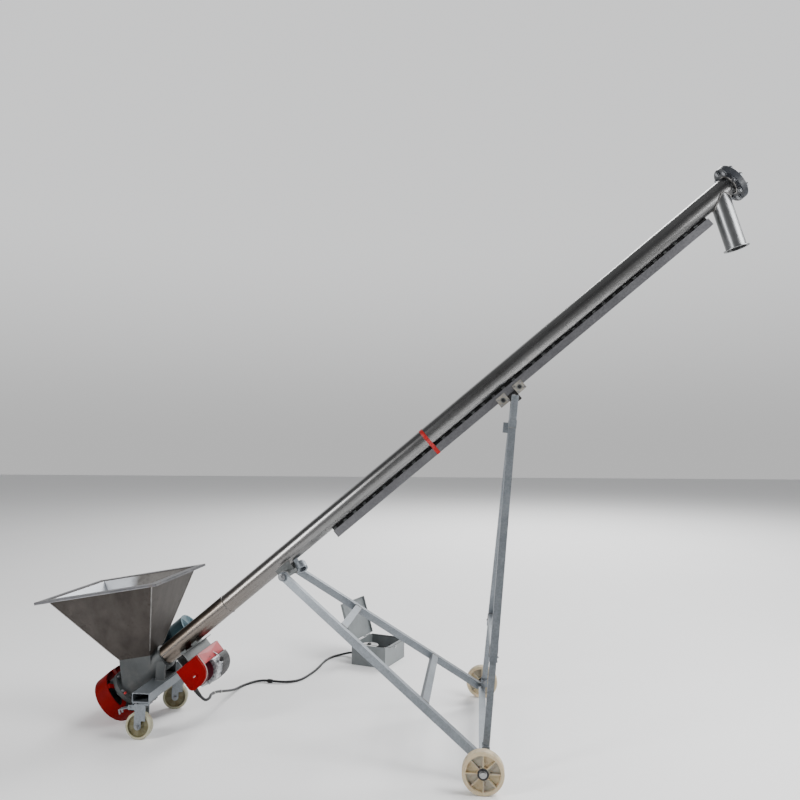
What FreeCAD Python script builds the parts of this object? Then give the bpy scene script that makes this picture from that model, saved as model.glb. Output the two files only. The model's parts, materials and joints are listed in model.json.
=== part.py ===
"""Grain auger: an inclined tube screw conveyor on two road wheels and two casters.

Lengths are millimetres and angles degrees.  +Z is up, +X runs uphill along the machine and +Y is its
left side, seen from the hopper.  The origin lies on the ground, at the middle of the whole outfit.
"""
import FreeCAD, Part
import math
import os

import Sketcher
from FreeCAD import Placement, Rotation, Vector

DOC = FreeCAD.newDocument("GrainAuger")
SHEET = DOC.addObject("Spreadsheet::Sheet", "sizes")

# Every size that can be set by itself: (name, value, what it is).
ROWS = [
    ("axle_x", 482.15, "road wheel axle, along X from the origin"),
    ("middle_y", -459.2, "plane of symmetry of the conveyor, along Y from the origin"),
    # --- conveyor tube
    ("tilt", 39.8, "slope of the tube above the ground"),
    ("low_back", 2089.5, "lower end plate, horizontally behind the axle"),
    ("low_up", 195.7, "lower end plate centre above the ground"),
    ("conveyor_length", 4578.0, "lower end plate to upper flange face"),
    ("tube_od", 114.3, "conveyor tube outer diameter"),
    ("tube_wall", 4.0, "conveyor tube wall"),
    ("casing_od", 140.0, "inlet casing outer diameter"),
    ("casing_wall", 5.0, "inlet casing wall"),
    ("casing_length", 300.0, "inlet casing length"),
    ("sleeve_end", 783.0, "where the doubling shell on the lower tube ends"),
    ("sleeve_wall", 3.0, "doubling shell thickness"),
    ("end_plate_od", 210.0, "lower end plate diameter"),
    ("end_plate_thick", 12.0, "lower end plate thickness"),
    ("flange_od", 220.0, "upper flange diameter"),
    ("flange_thick", 18.0, "upper flange thickness"),
    ("cover_thick", 14.0, "upper end cover thickness"),
    ("flange_pcd", 180.0, "upper flange bolt circle"),
    ("flange_holes", 8, "upper flange bolt count"),
    ("bolt_d", 16.0, "upper flange bolt"),
    ("hole_d", 18.0, "upper flange bolt hole"),
    ("plate_pcd", 184.0, "lower end plate bolt circle"),
    ("plate_bolts", 6, "lower end plate bolt count"),
    ("plate_bolt_d", 10.0, "lower end plate bolt"),
    # --- screw
    ("shaft_d", 42.0, "screw shaft diameter"),
    ("fit", 0.05, "radial running clearance of a shaft"),
    ("gap", 0.2, "clearance between pieces that are welded or bolted together"),
    ("flight_od", 100.0, "screw flight diameter"),
    ("pitch", 100.0, "screw pitch, one section of flight a turn"),
    ("flight_thick", 4.0, "flight thickness along the shaft"),
    ("flight_start", 25.0, "first section of flight"),
    ("flight_turns", 43, "sections of flight"),
    ("shaft_tail", 98.0, "screw shaft below the lower end plate"),
    # --- spout
    ("spout_s", 4482.0, "where the spout's centre line leaves the tube's"),
    ("spout_lean", 23.7, "spout's lean from square to the tube, towards the lower end"),
    ("spout_od", 112.0, "spout outer diameter"),
    ("spout_wall", 3.0, "spout wall"),
    ("spout_length", 332.0, "spout, centre line to mouth"),
    ("lip", 14.0, "rolled lip at the mouth"),
    # --- rail
    ("rail_start", 1549.0, "lower end of the guide rail"),
    ("rail_end", 4339.0, "upper end of the guide rail"),
    ("rail_width", 45.0, "guide rail channel, outside"),
    ("rail_wall", 3.0, "guide rail wall"),
    ("rail_slot", 14.0, "slot in the rail's underside"),
    ("rail_drop", 70.0, "rail's top below the tube's centre line"),
    ("pad_step", 75.0, "spacing of the pads between tube and rail"),
    ("pad_length", 22.0, "pad length"),
    ("pad_width", 12.0, "pad width"),
    # --- hopper
    ("hopper_x", -2023.0, "middle of the hopper's foot, from the axle"),
    ("hopper_z", 386.0, "middle of the hopper's foot, above the ground"),
    ("hopper_tilt", 9.7, "tilt of the hopper's rim"),
    ("hopper_rise", 433.0, "hopper, foot to rim"),
    ("hopper_shift", -30.0, "rim's middle towards the lower end"),
    ("foot_length", 190.0, "hopper foot along the machine"),
    ("foot_width", 140.0, "hopper foot across"),
    ("rim_length", 624.0, "hopper body at the rim, along the machine"),
    ("rim_width", 610.0, "hopper body at the rim, across"),
    ("rim_lip", 47.0, "rim flange, outwards"),
    ("rim_hem", 14.0, "rim hem, downwards"),
    ("sheet", 3.0, "hopper sheet"),
    # --- drive
    ("driven_od", 200.0, "driven pulley"),
    ("motor_pulley_od", 112.0, "motor pulley"),
    ("pulley_width", 44.0, "pulleys"),
    ("pulley_s", -94.0, "pulleys' outer face along the tube"),
    ("belt_width", 13.0, "belt"),
    ("belt_height", 9.0, "belt"),
    ("belt_pitch", 18.0, "belt to belt"),
    ("motor_y", 300.0, "motor centre line, left of the tube's"),
    ("motor_o", 58.0, "motor centre line, above the tube's"),
    ("motor_od", 176.0, "motor body"),
    ("motor_start", 40.0, "motor body, lower end"),
    ("motor_body", 245.0, "motor body length"),
    ("fan_cover", 95.0, "fan cover length"),
    ("motor_shaft_d", 28.0, "motor shaft"),
    ("mount_thick", 10.0, "motor plate"),
    ("guard_radius", 143.0, "belt guard round the driven pulley"),
    ("guard_small", 92.0, "belt guard round the motor pulley"),
    ("guard_outer", -116.0, "belt guard, outer face along the tube"),
    ("guard_depth", 90.0, "belt guard depth"),
    ("guard_wall", 3.0, "belt guard sheet"),
    # --- casters
    ("beam_x", -1866.0, "caster beam, from the axle"),
    ("beam_wide", 100.0, "caster beam section, flat"),
    ("beam_tall", 50.0, "caster beam section, upright"),
    ("beam_wall", 4.0, "caster beam wall"),
    ("beam_half", 300.0, "caster beam half length"),
    ("caster_y", 240.0, "casters, from the middle"),
    ("caster_d", 150.0, "caster wheel"),
    ("caster_w", 38.0, "caster wheel width"),
    ("caster_bolt", 12.0, "caster wheel bolt"),
    ("caster_trail", 32.0, "caster trail"),
    ("caster_height", 217.0, "caster, ground to mounting face"),
    ("fork_gap", 44.0, "caster fork, inside"),
    ("fork_sheet", 4.0, "caster fork sheet"),
    # --- lower frame
    ("pivot_s", 1190.0, "frame pivot along the tube"),
    ("pivot_o", 90.0, "frame pivot below the tube's centre line"),
    ("pivot_d", 25.0, "frame pivot shaft"),
    ("pivot_half", 136.0, "frame tubes at the pivot, from the middle"),
    ("axle_half", 538.0, "frame tubes at the axle beam, from the middle"),
    ("bar_side", 40.0, "frame bars, square section"),
    ("bar_wall", 3.0, "frame bars' wall"),
    ("cross_one", 442.0, "upper crossbar, from the pivot"),
    ("cross_two", 1003.0, "lower crossbar, from the pivot"),
    ("beam_end", 560.0, "axle beam half length"),
    # --- road wheels
    ("wheel_d", 200.0, "road wheel"),
    ("wheel_w", 50.0, "road wheel width"),
    ("wheel_track", 1370.0, "road wheels, outer face to outer face"),
    ("wheel_bore", 20.0, "road wheel bore"),
    ("wheel_ribs", 8, "road wheel ribs"),
    # --- legs and trolley
    ("foot_x", 15.0, "leg foot pin, from the axle"),
    ("foot_z", 150.0, "leg foot pin, above the ground"),
    ("trolley_s", 2850.0, "leg head pin along the tube"),
    ("head_o", 150.0, "leg head pin below the tube's centre line"),
    ("foot_half", 508.0, "leg feet, from the middle"),
    ("head_half", 54.0, "legs at the head, from the middle"),
    ("head_block", 1590.0, "head block, up the leg from the foot pin"),
    ("leg_bar", 40.0, "outer leg tube"),
    ("leg_inner", 33.4, "inner leg tube"),
    ("sleeve_low", 380.0, "outer leg tube starts, up the leg"),
    ("leg_cross", 433.0, "leg crossbar, up the leg"),
    ("pin_d", 16.0, "leg pins"),
    ("head_hole", 44.0, "hole for the head pin in the trolley"),
    ("roller_d", 37.6, "trolley rollers"),
    ("roller_half", 60.5, "rollers, each way from the head pin"),
    # --- hoist
    ("hoist_s", 452.0, "hoist shaft along the tube"),
    ("hoist_o", 205.0, "hoist shaft below the tube's centre line"),
    ("hoist_plate_o", 118.0, "hoist frame's top face below the tube's centre line"),
    ("hoist_front", -172.0, "hoist front cover, across the machine"),
    ("drum_d", 70.0, "hoist drum"),
    ("gear_d", 172.0, "hoist gear case"),
    ("hoist_motor_d", 180.0, "hoist motor"),
    # --- control box and cable
    ("box_x", -971.0, "control box near left corner, from the axle"),
    ("box_y", 1260.0, "control box near left corner, from the middle"),
    ("box_turn", -18.5, "control box turned on the ground"),
    ("box_length", 280.0, "control box across its hinge"),
    ("box_width", 340.0, "control box along its hinge"),
    ("box_height", 150.0, "control box height"),
    ("box_sheet", 2.0, "control box sheet"),
    ("lid_open", 107.0, "lid opened from shut"),
    ("lid_depth", 20.0, "lid rim"),
    ("cable_d", 16.0, "cable in its sheath"),
]


class Size:
    """A number that also knows how to write itself as an expression on the sheet."""

    def __init__(self, value, text):
        self.value = float(value)
        self.text = text

    def __float__(self):
        return self.value

    def __add__(self, other):
        other = size(other)
        return Size(self.value + other.value, f"({self.text} + {other.text})")

    def __sub__(self, other):
        other = size(other)
        return Size(self.value - other.value, f"({self.text} - {other.text})")

    def __mul__(self, other):
        other = size(other)
        return Size(self.value * other.value, f"({self.text} * {other.text})")

    def __truediv__(self, other):
        other = size(other)
        return Size(self.value / other.value, f"({self.text} / {other.text})")

    def __neg__(self):
        return Size(-self.value, f"(0 - {self.text})")

    def __radd__(self, other):
        return size(other) + self

    def __rsub__(self, other):
        return size(other) - self

    def __rmul__(self, other):
        return size(other) * self


def size(number):
    """Turn a plain number into a Size, and leave a Size as it is."""
    return number if isinstance(number, Size) else Size(number, repr(float(number)))


class Sizes:
    """The sheet's rows as attributes."""

    def __init__(self, rows):
        for line, (name, value, note) in enumerate(rows, start=1):
            SHEET.set(f"A{line}", note)
            SHEET.set(f"B{line}", str(value))
            SHEET.setAlias(f"B{line}", name)
            setattr(self, name, Size(value, f"sizes.{name}"))


D = Sizes(ROWS)
DOC.recompute()
NODES = []


# ------------------------------------------------------------------ building blocks
def bind(obj, prop, value):
    """Bind one property to the sheet."""
    if isinstance(value, Size):
        obj.setExpression(prop, value.text)
    else:
        setattr(obj, prop, value)


def move(obj, x=0, y=0, z=0, turn=None):
    """Place an object at a point whose coordinates may be Sizes."""
    obj.Placement = Placement(Vector(float(x), float(y), float(z)), turn or Rotation())
    for axis, value in zip("xyz", (x, y, z)):
        if isinstance(value, Size):
            obj.setExpression(f"Placement.Base.{axis}", value.text)
    return obj


def block(name, length, width, height, x=0, y=0, z=0, turn=None):
    """A box from its low corner."""
    obj = DOC.addObject("Part::Box", name)
    for prop, value in zip(("Length", "Width", "Height"), (length, width, height)):
        bind(obj, prop, size(value))
    return move(obj, x, y, z, turn)


TURNS = {"x": Rotation(Vector(0, 1, 0), 90), "y": Rotation(Vector(1, 0, 0), -90), "z": Rotation()}


def rod(name, radius, length, x=0, y=0, z=0, along="z"):
    """A cylinder that starts at a point and runs along an axis."""
    obj = DOC.addObject("Part::Cylinder", name)
    bind(obj, "Radius", size(radius))
    bind(obj, "Height", size(length))
    return move(obj, x, y, z, TURNS[along])


def aimed_rod(name, radius, length, start, aim):
    """A cylinder that starts at a point and runs in a given direction."""
    obj = rod(name, radius, length)
    obj.Placement = Placement(start, Rotation(Vector(0, 0, 1), aim))
    return obj


def fuse(name, *shapes):
    """Join overlapping shapes into one."""
    obj = DOC.addObject("Part::MultiFuse", name)
    obj.Shapes = list(shapes)
    obj.Refine = True
    return obj


def cut(name, base, *tools):
    """Take every tool away from a base."""
    obj = DOC.addObject("Part::Cut", name)
    obj.Base = base
    obj.Tool = tools[0] if len(tools) == 1 else fuse(name + "_tools", *tools)
    return obj


def overlap(name, *shapes):
    """Keep only what all the shapes share."""
    obj = DOC.addObject("Part::MultiCommon", name)
    obj.Shapes = list(shapes)
    return obj


def group(name, *shapes):
    """Hold separate solids as one sub-part."""
    obj = DOC.addObject("Part::Compound", name)
    obj.Links = list(shapes)
    return obj


def ring(name, outer, inner, length, x=0, y=0, z=0, along="x"):
    """A round tube that starts at a point; it is cut a little past both ends."""
    wide = rod(name + "_outer", outer, length, x, y, z, along)
    step = {"x": (-1, 0, 0), "y": (0, -1, 0), "z": (0, 0, -1)}[along]
    hole = rod(name + "_inner", inner, size(length) + 2, x + step[0], y + step[1], z + step[2], along)
    return cut(name, wide, hole)


def node(obj, frame):
    """Name a finished sub-part, place it and list it for writing."""
    obj.Label = obj.Name
    obj.Placement = frame
    NODES.append(obj)
    return obj


def hex_bolt(diameter, low, high, x, y, z, spare=6.0):
    """A bolt along X with its head below `low` and its nut above `high`, as one solid."""
    across = 0.9 * diameter
    head = hexagon(across, 0.65 * diameter, low - 0.65 * diameter, y, z)
    nut = hexagon(across, 0.8 * diameter, high, y, z)
    shank = Part.makeCylinder(diameter / 2, high - low + 0.8 * diameter + spare, Vector(low, y, z),
                              Vector(1, 0, 0))
    return head.fuse([nut, shank]).removeSplitter().translated(Vector(x, 0, 0))


def hexagon(radius, thick, x, y, z):
    """A hexagonal prism along X."""
    corners = [Vector(x, y + radius * math.cos(math.radians(60 * k)), z + radius * math.sin(math.radians(60 * k)))
               for k in range(7)]
    return Part.Face(Part.makePolygon(corners)).extrude(Vector(thick, 0, 0))


def shape_node(name, shape, frame):
    """A sub-part whose shape is made by Part's own functions."""
    obj = DOC.addObject("Part::Feature", name)
    obj.Shape = shape
    return node(obj, frame)


def new_body(name):
    """An empty PartDesign body."""
    return DOC.addObject("PartDesign::Body", name)


def new_sketch(body, name, role):
    """A sketch on one of a body's own origin planes."""
    sketch = body.newObject("Sketcher::SketchObject", name)
    plane = [item for item in body.Origin.OriginFeatures if item.Role == role][0]
    sketch.AttachmentSupport = [(plane, "")]
    sketch.MapMode = "FlatFace"
    return sketch


def fix(sketch, constraint, value):
    """Add a dimension to a sketch and bind it."""
    index = sketch.addConstraint(constraint)
    if isinstance(value, Size):
        sketch.setExpression(f"Constraints[{index}]", value.text)


def fix_point(sketch, line, end, x, y):
    """Tie a sketch point to the sketch's origin."""
    for kind, value in (("DistanceX", x), ("DistanceY", y)):
        if abs(float(value)) < 1e-9:
            on_axis = -2 if kind == "DistanceX" else -1
            sketch.addConstraint(Sketcher.Constraint("PointOnObject", line, end, on_axis))
        else:
            fix(sketch, Sketcher.Constraint(kind, -1, 1, line, end, float(value)), value)


def polygon(sketch, points):
    """A closed outline whose corners may be Sizes."""
    corners = [Vector(float(x), float(y), 0) for x, y in points]
    first = sketch.GeometryCount
    count = len(corners)
    for k in range(count):
        sketch.addGeometry(Part.LineSegment(corners[k], corners[(k + 1) % count]))
    for k in range(count):
        sketch.addConstraint(Sketcher.Constraint("Coincident", first + k, 2, first + (k + 1) % count, 1))
    for k, (x, y) in enumerate(points):
        fix_point(sketch, first + k, 1, x, y)


def rectangle(sketch, width, height, x=0, y=0):
    """A rectangle about a point."""
    left, right = x - width / 2, x + width / 2
    low, high = y - height / 2, y + height / 2
    polygon(sketch, [(left, low), (right, low), (right, high), (left, high)])


def circle(sketch, radius, x=0, y=0):
    """A circle about a point."""
    index = sketch.addGeometry(Part.Circle(Vector(float(x), float(y), 0), Vector(0, 0, 1), float(radius)))
    fix_point(sketch, index, 3, x, y)
    fix(sketch, Sketcher.Constraint("Radius", index, float(radius)), radius)


def pad(body, sketch, length, midplane=False, reverse=False):
    """Raise a sketch into a solid."""
    feature = body.newObject("PartDesign::Pad", sketch.Name + "_pad")
    feature.Profile = sketch
    bind(feature, "Length", size(length))
    feature.Midplane = midplane
    feature.Reversed = reverse
    sketch.Visibility = False
    return feature


def revolve(body, sketch, axis):
    """Turn a sketch once round one of its own axes."""
    feature = body.newObject("PartDesign::Revolution", sketch.Name + "_turned")
    feature.Profile = sketch
    feature.ReferenceAxis = (sketch, [axis])
    feature.Angle = 360.0
    return feature


def repeat_round(body, feature, role, count, reference="turn"):
    """Repeat a feature round one of the body's own axes."""
    axis = [item for item in body.Origin.OriginFeatures if item.Role == role][0]
    pattern = body.newObject("PartDesign::PolarPattern", feature.Name + "_" + reference)
    pattern.Originals = [feature]
    pattern.Axis = (axis, [""])
    pattern.Angle = 360.0
    bind(pattern, "Occurrences", count)
    body.Tip = pattern
    return pattern


# ------------------------------------------------------------------ frames of reference
def world_point(along, below=0.0):
    """Ground-frame X and Z of a point along the tube and below its centre line."""
    slope = math.radians(float(D.tilt))
    return (low_end.x + along * math.cos(slope) + below * math.sin(slope),
            low_end.z + along * math.sin(slope) - below * math.cos(slope))


AXLE = Vector(float(D.axle_x), float(D.middle_y), float(D.wheel_d) / 2)
low_end = Vector(AXLE.x - float(D.low_back), AXLE.y, float(D.low_up))
GROUND = Placement(Vector(AXLE.x, AXLE.y, 0), Rotation())
TUBE = Placement(low_end, Rotation(Vector(0, 1, 0), -float(D.tilt)))
pivot_x, pivot_z = world_point(float(D.pivot_s), float(D.pivot_o))
frame_run = AXLE.x - pivot_x
frame_drop = pivot_z - AXLE.z
FRAME_LENGTH = math.hypot(frame_run, frame_drop)
FRAME = Placement(Vector(pivot_x, AXLE.y, pivot_z),
                  Rotation(Vector(0, 1, 0), math.degrees(math.atan2(frame_drop, frame_run))))
head_x, head_z = world_point(float(D.trolley_s), float(D.head_o))
foot = Vector(AXLE.x + float(D.foot_x), AXLE.y, float(D.foot_z))
LEG_LENGTH = math.hypot(head_x - foot.x, head_z - foot.z)
LEGS = Placement(foot, Rotation(Vector(0, 1, 0), -math.degrees(math.atan2(head_z - foot.z, head_x - foot.x))))
HOPPER = Placement(Vector(AXLE.x + float(D.hopper_x), AXLE.y, float(D.hopper_z)),
                   Rotation(Vector(0, 1, 0), -float(D.hopper_tilt)))
BOX = Placement(Vector(AXLE.x + float(D.box_x), AXLE.y + float(D.box_y), 0),
                Rotation(Vector(0, 0, 1), float(D.box_turn)))
TUBE_RADIUS = D.tube_od / 2
TUBE_BORE = D.tube_od / 2 - D.tube_wall
LEFT_RIGHT = (("left", 1), ("right", -1))


# ------------------------------------------------------------------ conveyor tube and its ends
def spout_tool(name, radius, start, length):
    """A cylinder along the spout, from a distance down its centre line, in the tube's frame."""
    lean = math.radians(float(D.spout_lean))
    turn = Rotation(Vector(0, 0, 1), Vector(-math.sin(lean), 0, -math.cos(lean)))
    obj = rod(name, radius, length)
    base = Vector(float(D.spout_s), 0, 0) + Vector(-math.sin(lean), 0, -math.cos(lean)) * float(start)
    obj.Placement = Placement(base, turn)
    return obj


def build_tube():
    """Main tube with its spout opening, the doubling shell and the spout."""
    tube_top = D.conveyor_length - D.flange_thick
    main = ring("tube_stock", TUBE_RADIUS, TUBE_BORE, tube_top - D.casing_length, x=D.casing_length)
    bore = D.spout_od / 2 - D.spout_wall
    node(cut("main_tube", main, spout_tool("spout_opening", bore, 0, 90)), TUBE)

    shell = ring("shell_stock", TUBE_RADIUS + D.gap / 2 + D.sleeve_wall, TUBE_RADIUS + D.gap / 2,
                 D.sleeve_end - D.casing_length - 1, x=D.casing_length + 1)
    upper_half = block("shell_half", D.sleeve_end, D.tube_od * 2, D.tube_od, x=0, y=-D.tube_od, z=10)
    node(overlap("doubling_shell", shell, upper_half), TUBE)

    pipe = spout_tool("spout_pipe", D.spout_od / 2, 0, D.spout_length)
    lip = spout_tool("spout_lip", D.spout_od / 2 + D.lip, D.spout_length - 3, 3)
    through = spout_tool("spout_bore", bore, -20, D.spout_length + 60)
    seat = rod("spout_seat", TUBE_RADIUS + D.gap / 2, D.conveyor_length, along="x")
    upper_side = block("spout_above", D.conveyor_length + 100, 300, 300, y=-150, z=0)
    flange_side = block("spout_flange_side", 400, 300, 300, x=tube_top - D.gap, y=-150, z=-150)
    node(cut("discharge_spout", fuse("spout_whole", pipe, lip), through, seat, upper_side, flange_side), TUBE)


def drilled_disc(name, radius, bore, thick, bolt_circle, hole, count):
    """A round plate with a bore and a circle of bolt holes, standing on its YZ plane."""
    body = new_body(name)
    outline = new_sketch(body, name + "_outline", "YZ_Plane")
    circle(outline, radius)
    if bore is not None:
        circle(outline, bore)
    pad(body, outline, thick)
    DOC.recompute()
    marks = new_sketch(body, name + "_holes", "YZ_Plane")
    circle(marks, hole, x=bolt_circle)
    pocket = body.newObject("PartDesign::Pocket", name + "_drilled")
    pocket.Profile = marks
    pocket.Type = 1
    pocket.Midplane = True
    DOC.recompute()
    repeat_round(body, pocket, "X_Axis", count)
    return body


def along_tube(s):
    """The tube's frame, moved along the tube."""
    return TUBE.multiply(Placement(Vector(float(s), 0, 0), Rotation()))


def build_flanges():
    """Upper flange, end cover with its bearing boss, lower end plate and all their bolts."""
    flange_low = D.conveyor_length - D.flange_thick
    flange = drilled_disc("upper_flange", D.flange_od / 2, TUBE_BORE, D.flange_thick, D.flange_pcd / 2,
                          D.hole_d / 2, D.flange_holes)
    node(flange, along_tube(flange_low))
    cover = drilled_disc("cover_disc", D.flange_od / 2, None, D.cover_thick, D.flange_pcd / 2, D.hole_d / 2,
                         D.flange_holes)
    boss = rod("cover_boss", 38, 32.5, x=-32, along="x")
    bore = rod("cover_bore", D.shaft_d / 2 + D.fit, 32, x=-32, along="x")
    node(cut("end_cover", fuse("cover_whole", cover, boss), bore), along_tube(D.conveyor_length))
    plate = drilled_disc("lower_end_plate", D.end_plate_od / 2, D.shaft_d / 2 + 3, D.end_plate_thick,
                         D.plate_pcd / 2, D.plate_bolt_d / 2 + 0.5, D.plate_bolts)
    node(plate, along_tube(-D.end_plate_thick))
    bolts = []
    for k in range(int(D.flange_holes.value)):
        angle = 2 * math.pi * k / D.flange_holes.value
        y, z = float(D.flange_pcd) / 2 * math.cos(angle), float(D.flange_pcd) / 2 * math.sin(angle)
        bolts.append(hex_bolt(float(D.bolt_d), float(flange_low), float(D.conveyor_length + D.cover_thick),
                              0, y, z))
    for k in range(int(D.plate_bolts.value)):
        angle = 2 * math.pi * k / D.plate_bolts.value
        y, z = float(D.plate_pcd) / 2 * math.cos(angle), float(D.plate_pcd) / 2 * math.sin(angle)
        bolts.append(hex_bolt(float(D.plate_bolt_d), -float(D.end_plate_thick), float(D.end_plate_thick), 0, y, z,
                              spare=3.0))
    shape_node("flange_bolts", Part.makeCompound(bolts), TUBE)


def build_casing():
    """Inlet casing: a short fat tube with a flange below, a reducing ring above and the hopper's neck."""
    radius = D.casing_od / 2
    pipe = rod("casing_pipe", radius, D.casing_length, along="x")
    collar = rod("casing_flange", D.end_plate_od / 2, D.end_plate_thick, along="x")
    bore = rod("casing_bore", radius - D.casing_wall, D.casing_length - 8 + 1, x=-1, along="x")
    throat = rod("casing_throat", TUBE_BORE, D.casing_length + 2, x=-1, along="x")
    neck = block("neck_outer", D.foot_length, D.foot_width, 220, x=-D.foot_length / 2, y=-D.foot_width / 2, z=-220)
    neck_hole = block("neck_inner", D.foot_length - D.sheet * 2, D.foot_width - D.sheet * 2, 400,
                      x=-D.foot_length / 2 + D.sheet, y=-D.foot_width / 2 + D.sheet, z=-200)
    in_tube = TUBE.inverse().multiply(HOPPER)
    for part in (neck, neck_hole):
        place_in(part, in_tube)
    above = block("casing_above", D.casing_length - 14, D.casing_od, 300, x=14, y=-D.casing_od / 2, z=0)
    upper_neck = overlap("casing_neck", neck, above)
    holes = [rod(f"casing_hole_{k}", D.plate_bolt_d / 2 + 0.5, 30, x=-5,
                 y=float(D.plate_pcd) / 2 * math.cos(k * math.pi / 3),
                 z=float(D.plate_pcd) / 2 * math.sin(k * math.pi / 3), along="x") for k in range(6)]
    keep_hole = overlap("neck_opening", neck_hole, block("neck_side", D.casing_length - 30, 200, 400, x=18, y=-100))
    whole = fuse("casing_whole", pipe, collar, upper_neck)
    node(cut("inlet_casing", whole, bore, throat, keep_hole, *holes), TUBE)


def place_in(obj, frame):
    """Move an unbound part into a frame, keeping its own place in it."""
    own = Placement(obj.Placement)
    for axis in "xyz":
        obj.setExpression(f"Placement.Base.{axis}", None)
    obj.Placement = frame.multiply(own)
    return obj


def build_hopper():
    """Four-sided funnel with a flanged rim."""
    body = new_body("hopper_funnel")
    foot_sketch = new_sketch(body, "hopper_foot", "XY_Plane")
    rectangle(foot_sketch, D.foot_length, D.foot_width)
    top_sketch = new_sketch(body, "hopper_top", "XY_Plane")
    top_sketch.AttachmentOffset = Placement(Vector(0, 0, float(D.hopper_rise)), Rotation())
    top_sketch.setExpression("AttachmentOffset.Base.z", D.hopper_rise.text)
    rectangle(top_sketch, D.rim_length, D.rim_width, x=D.hopper_shift)
    outside = body.newObject("PartDesign::AdditiveLoft", "hopper_outside")
    outside.Profile = foot_sketch
    outside.Sections = [top_sketch]
    outside.Ruled = True
    DOC.recompute()
    slope = 1.35
    inner_foot = new_sketch(body, "hopper_inner_foot", "XY_Plane")
    rectangle(inner_foot, D.foot_length - D.sheet * 2 * slope, D.foot_width - D.sheet * 2 * slope)
    inner_top = new_sketch(body, "hopper_inner_top", "XY_Plane")
    inner_top.AttachmentOffset = Placement(Vector(0, 0, float(D.hopper_rise)), Rotation())
    inner_top.setExpression("AttachmentOffset.Base.z", D.hopper_rise.text)
    rectangle(inner_top, D.rim_length - D.sheet * 2 * slope, D.rim_width - D.sheet * 2 * slope,
              x=D.hopper_shift)
    inside = body.newObject("PartDesign::SubtractiveLoft", "hopper_inside")
    inside.Profile = inner_foot
    inside.Sections = [inner_top]
    inside.Ruled = True
    body.Tip = inside
    seat = rod("hopper_seat", D.casing_od / 2 + D.gap, D.casing_length * 2, along="x")
    place_in(seat, HOPPER.inverse().multiply(TUBE))
    node(cut("hopper", body, seat), HOPPER)

    rise = D.hopper_rise
    outer_x, outer_y = D.rim_length + D.rim_lip * 2, D.rim_width + D.rim_lip * 2
    plate = block("rim_plate", outer_x, outer_y, D.sheet, x=D.hopper_shift - outer_x / 2, y=-outer_y / 2, z=rise)
    hem = block("rim_hem_outer", outer_x, outer_y, D.rim_hem, x=D.hopper_shift - outer_x / 2, y=-outer_y / 2,
                z=rise + D.sheet - D.rim_hem)
    hem_x, hem_y = outer_x - D.sheet * 2, outer_y - D.sheet * 2
    hem_hole = block("rim_hem_inner", hem_x, hem_y, D.rim_hem * 2, x=D.hopper_shift - hem_x / 2, y=-hem_y / 2,
                     z=rise - D.rim_hem * 2)
    mouth_x, mouth_y = D.rim_length - D.sheet * 2 * slope, D.rim_width - D.sheet * 2 * slope
    mouth = block("rim_mouth", mouth_x, mouth_y, 60, x=D.hopper_shift - mouth_x / 2, y=-mouth_y / 2, z=rise - 30)
    node(cut("hopper_rim", fuse("rim_whole", plate, hem), hem_hole, mouth), HOPPER)


# ------------------------------------------------------------------ screw and drive
def flight_section():
    """One turn of flight: a strip's section carried once round the shaft."""
    body = new_body("flight_turn")
    section = new_sketch(body, "flight_strip", "XZ_Plane")
    inner, outer = D.shaft_d / 2 + D.fit, D.flight_od / 2
    polygon(section, [(inner, size(0)), (outer, size(0)), (outer, D.flight_thick), (inner, D.flight_thick)])
    turn = body.newObject("PartDesign::AdditiveHelix", "flight_helix")
    turn.Profile = section
    turn.ReferenceAxis = (section, ["V_Axis"])
    turn.Mode = 0
    bind(turn, "Pitch", D.pitch - 0.1)
    bind(turn, "Height", D.pitch - 0.1)
    DOC.recompute()
    return body.Shape.copy()


def build_screw():
    """Screw shaft, its one-turn flight sections and the driven pulley."""
    body = new_body("screw_shaft")
    outline = new_sketch(body, "shaft_outline", "YZ_Plane")
    circle(outline, D.shaft_d / 2)
    pad(body, outline, D.shaft_tail + D.conveyor_length - 3)
    node(body, along_tube(-D.shaft_tail))

    one = flight_section()
    one.rotate(Vector(0, 0, 0), Vector(0, 1, 0), 90)
    step = float(D.pitch)
    sections = [one.translated(Vector(float(D.flight_start) + step * k, 0, 0))
                for k in range(int(D.flight_turns.value))]
    shape_node("screw_flight", Part.makeCompound(sections), TUBE)


def pulley(name, radius, bore, frame):
    """A two-groove pulley turned from a profile, on the X axis from its outer face."""
    body = new_body(name)
    profile = new_sketch(body, name + "_profile", "XY_Plane")
    groove = D.belt_width + 1
    depth = D.belt_height + 0.3
    first = (D.pulley_width - D.belt_pitch - groove) / 2
    second = first + D.belt_pitch
    polygon(profile, [
        (size(0.001), bore), (D.pulley_width, bore), (D.pulley_width, radius),
        (second + groove, radius), (second + groove, radius - depth), (second, radius - depth), (second, radius),
        (first + groove, radius), (first + groove, radius - depth), (first, radius - depth), (first, radius),
        (size(0.001), radius)])
    revolve(body, profile, "H_Axis")
    return node(body, frame)


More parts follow.
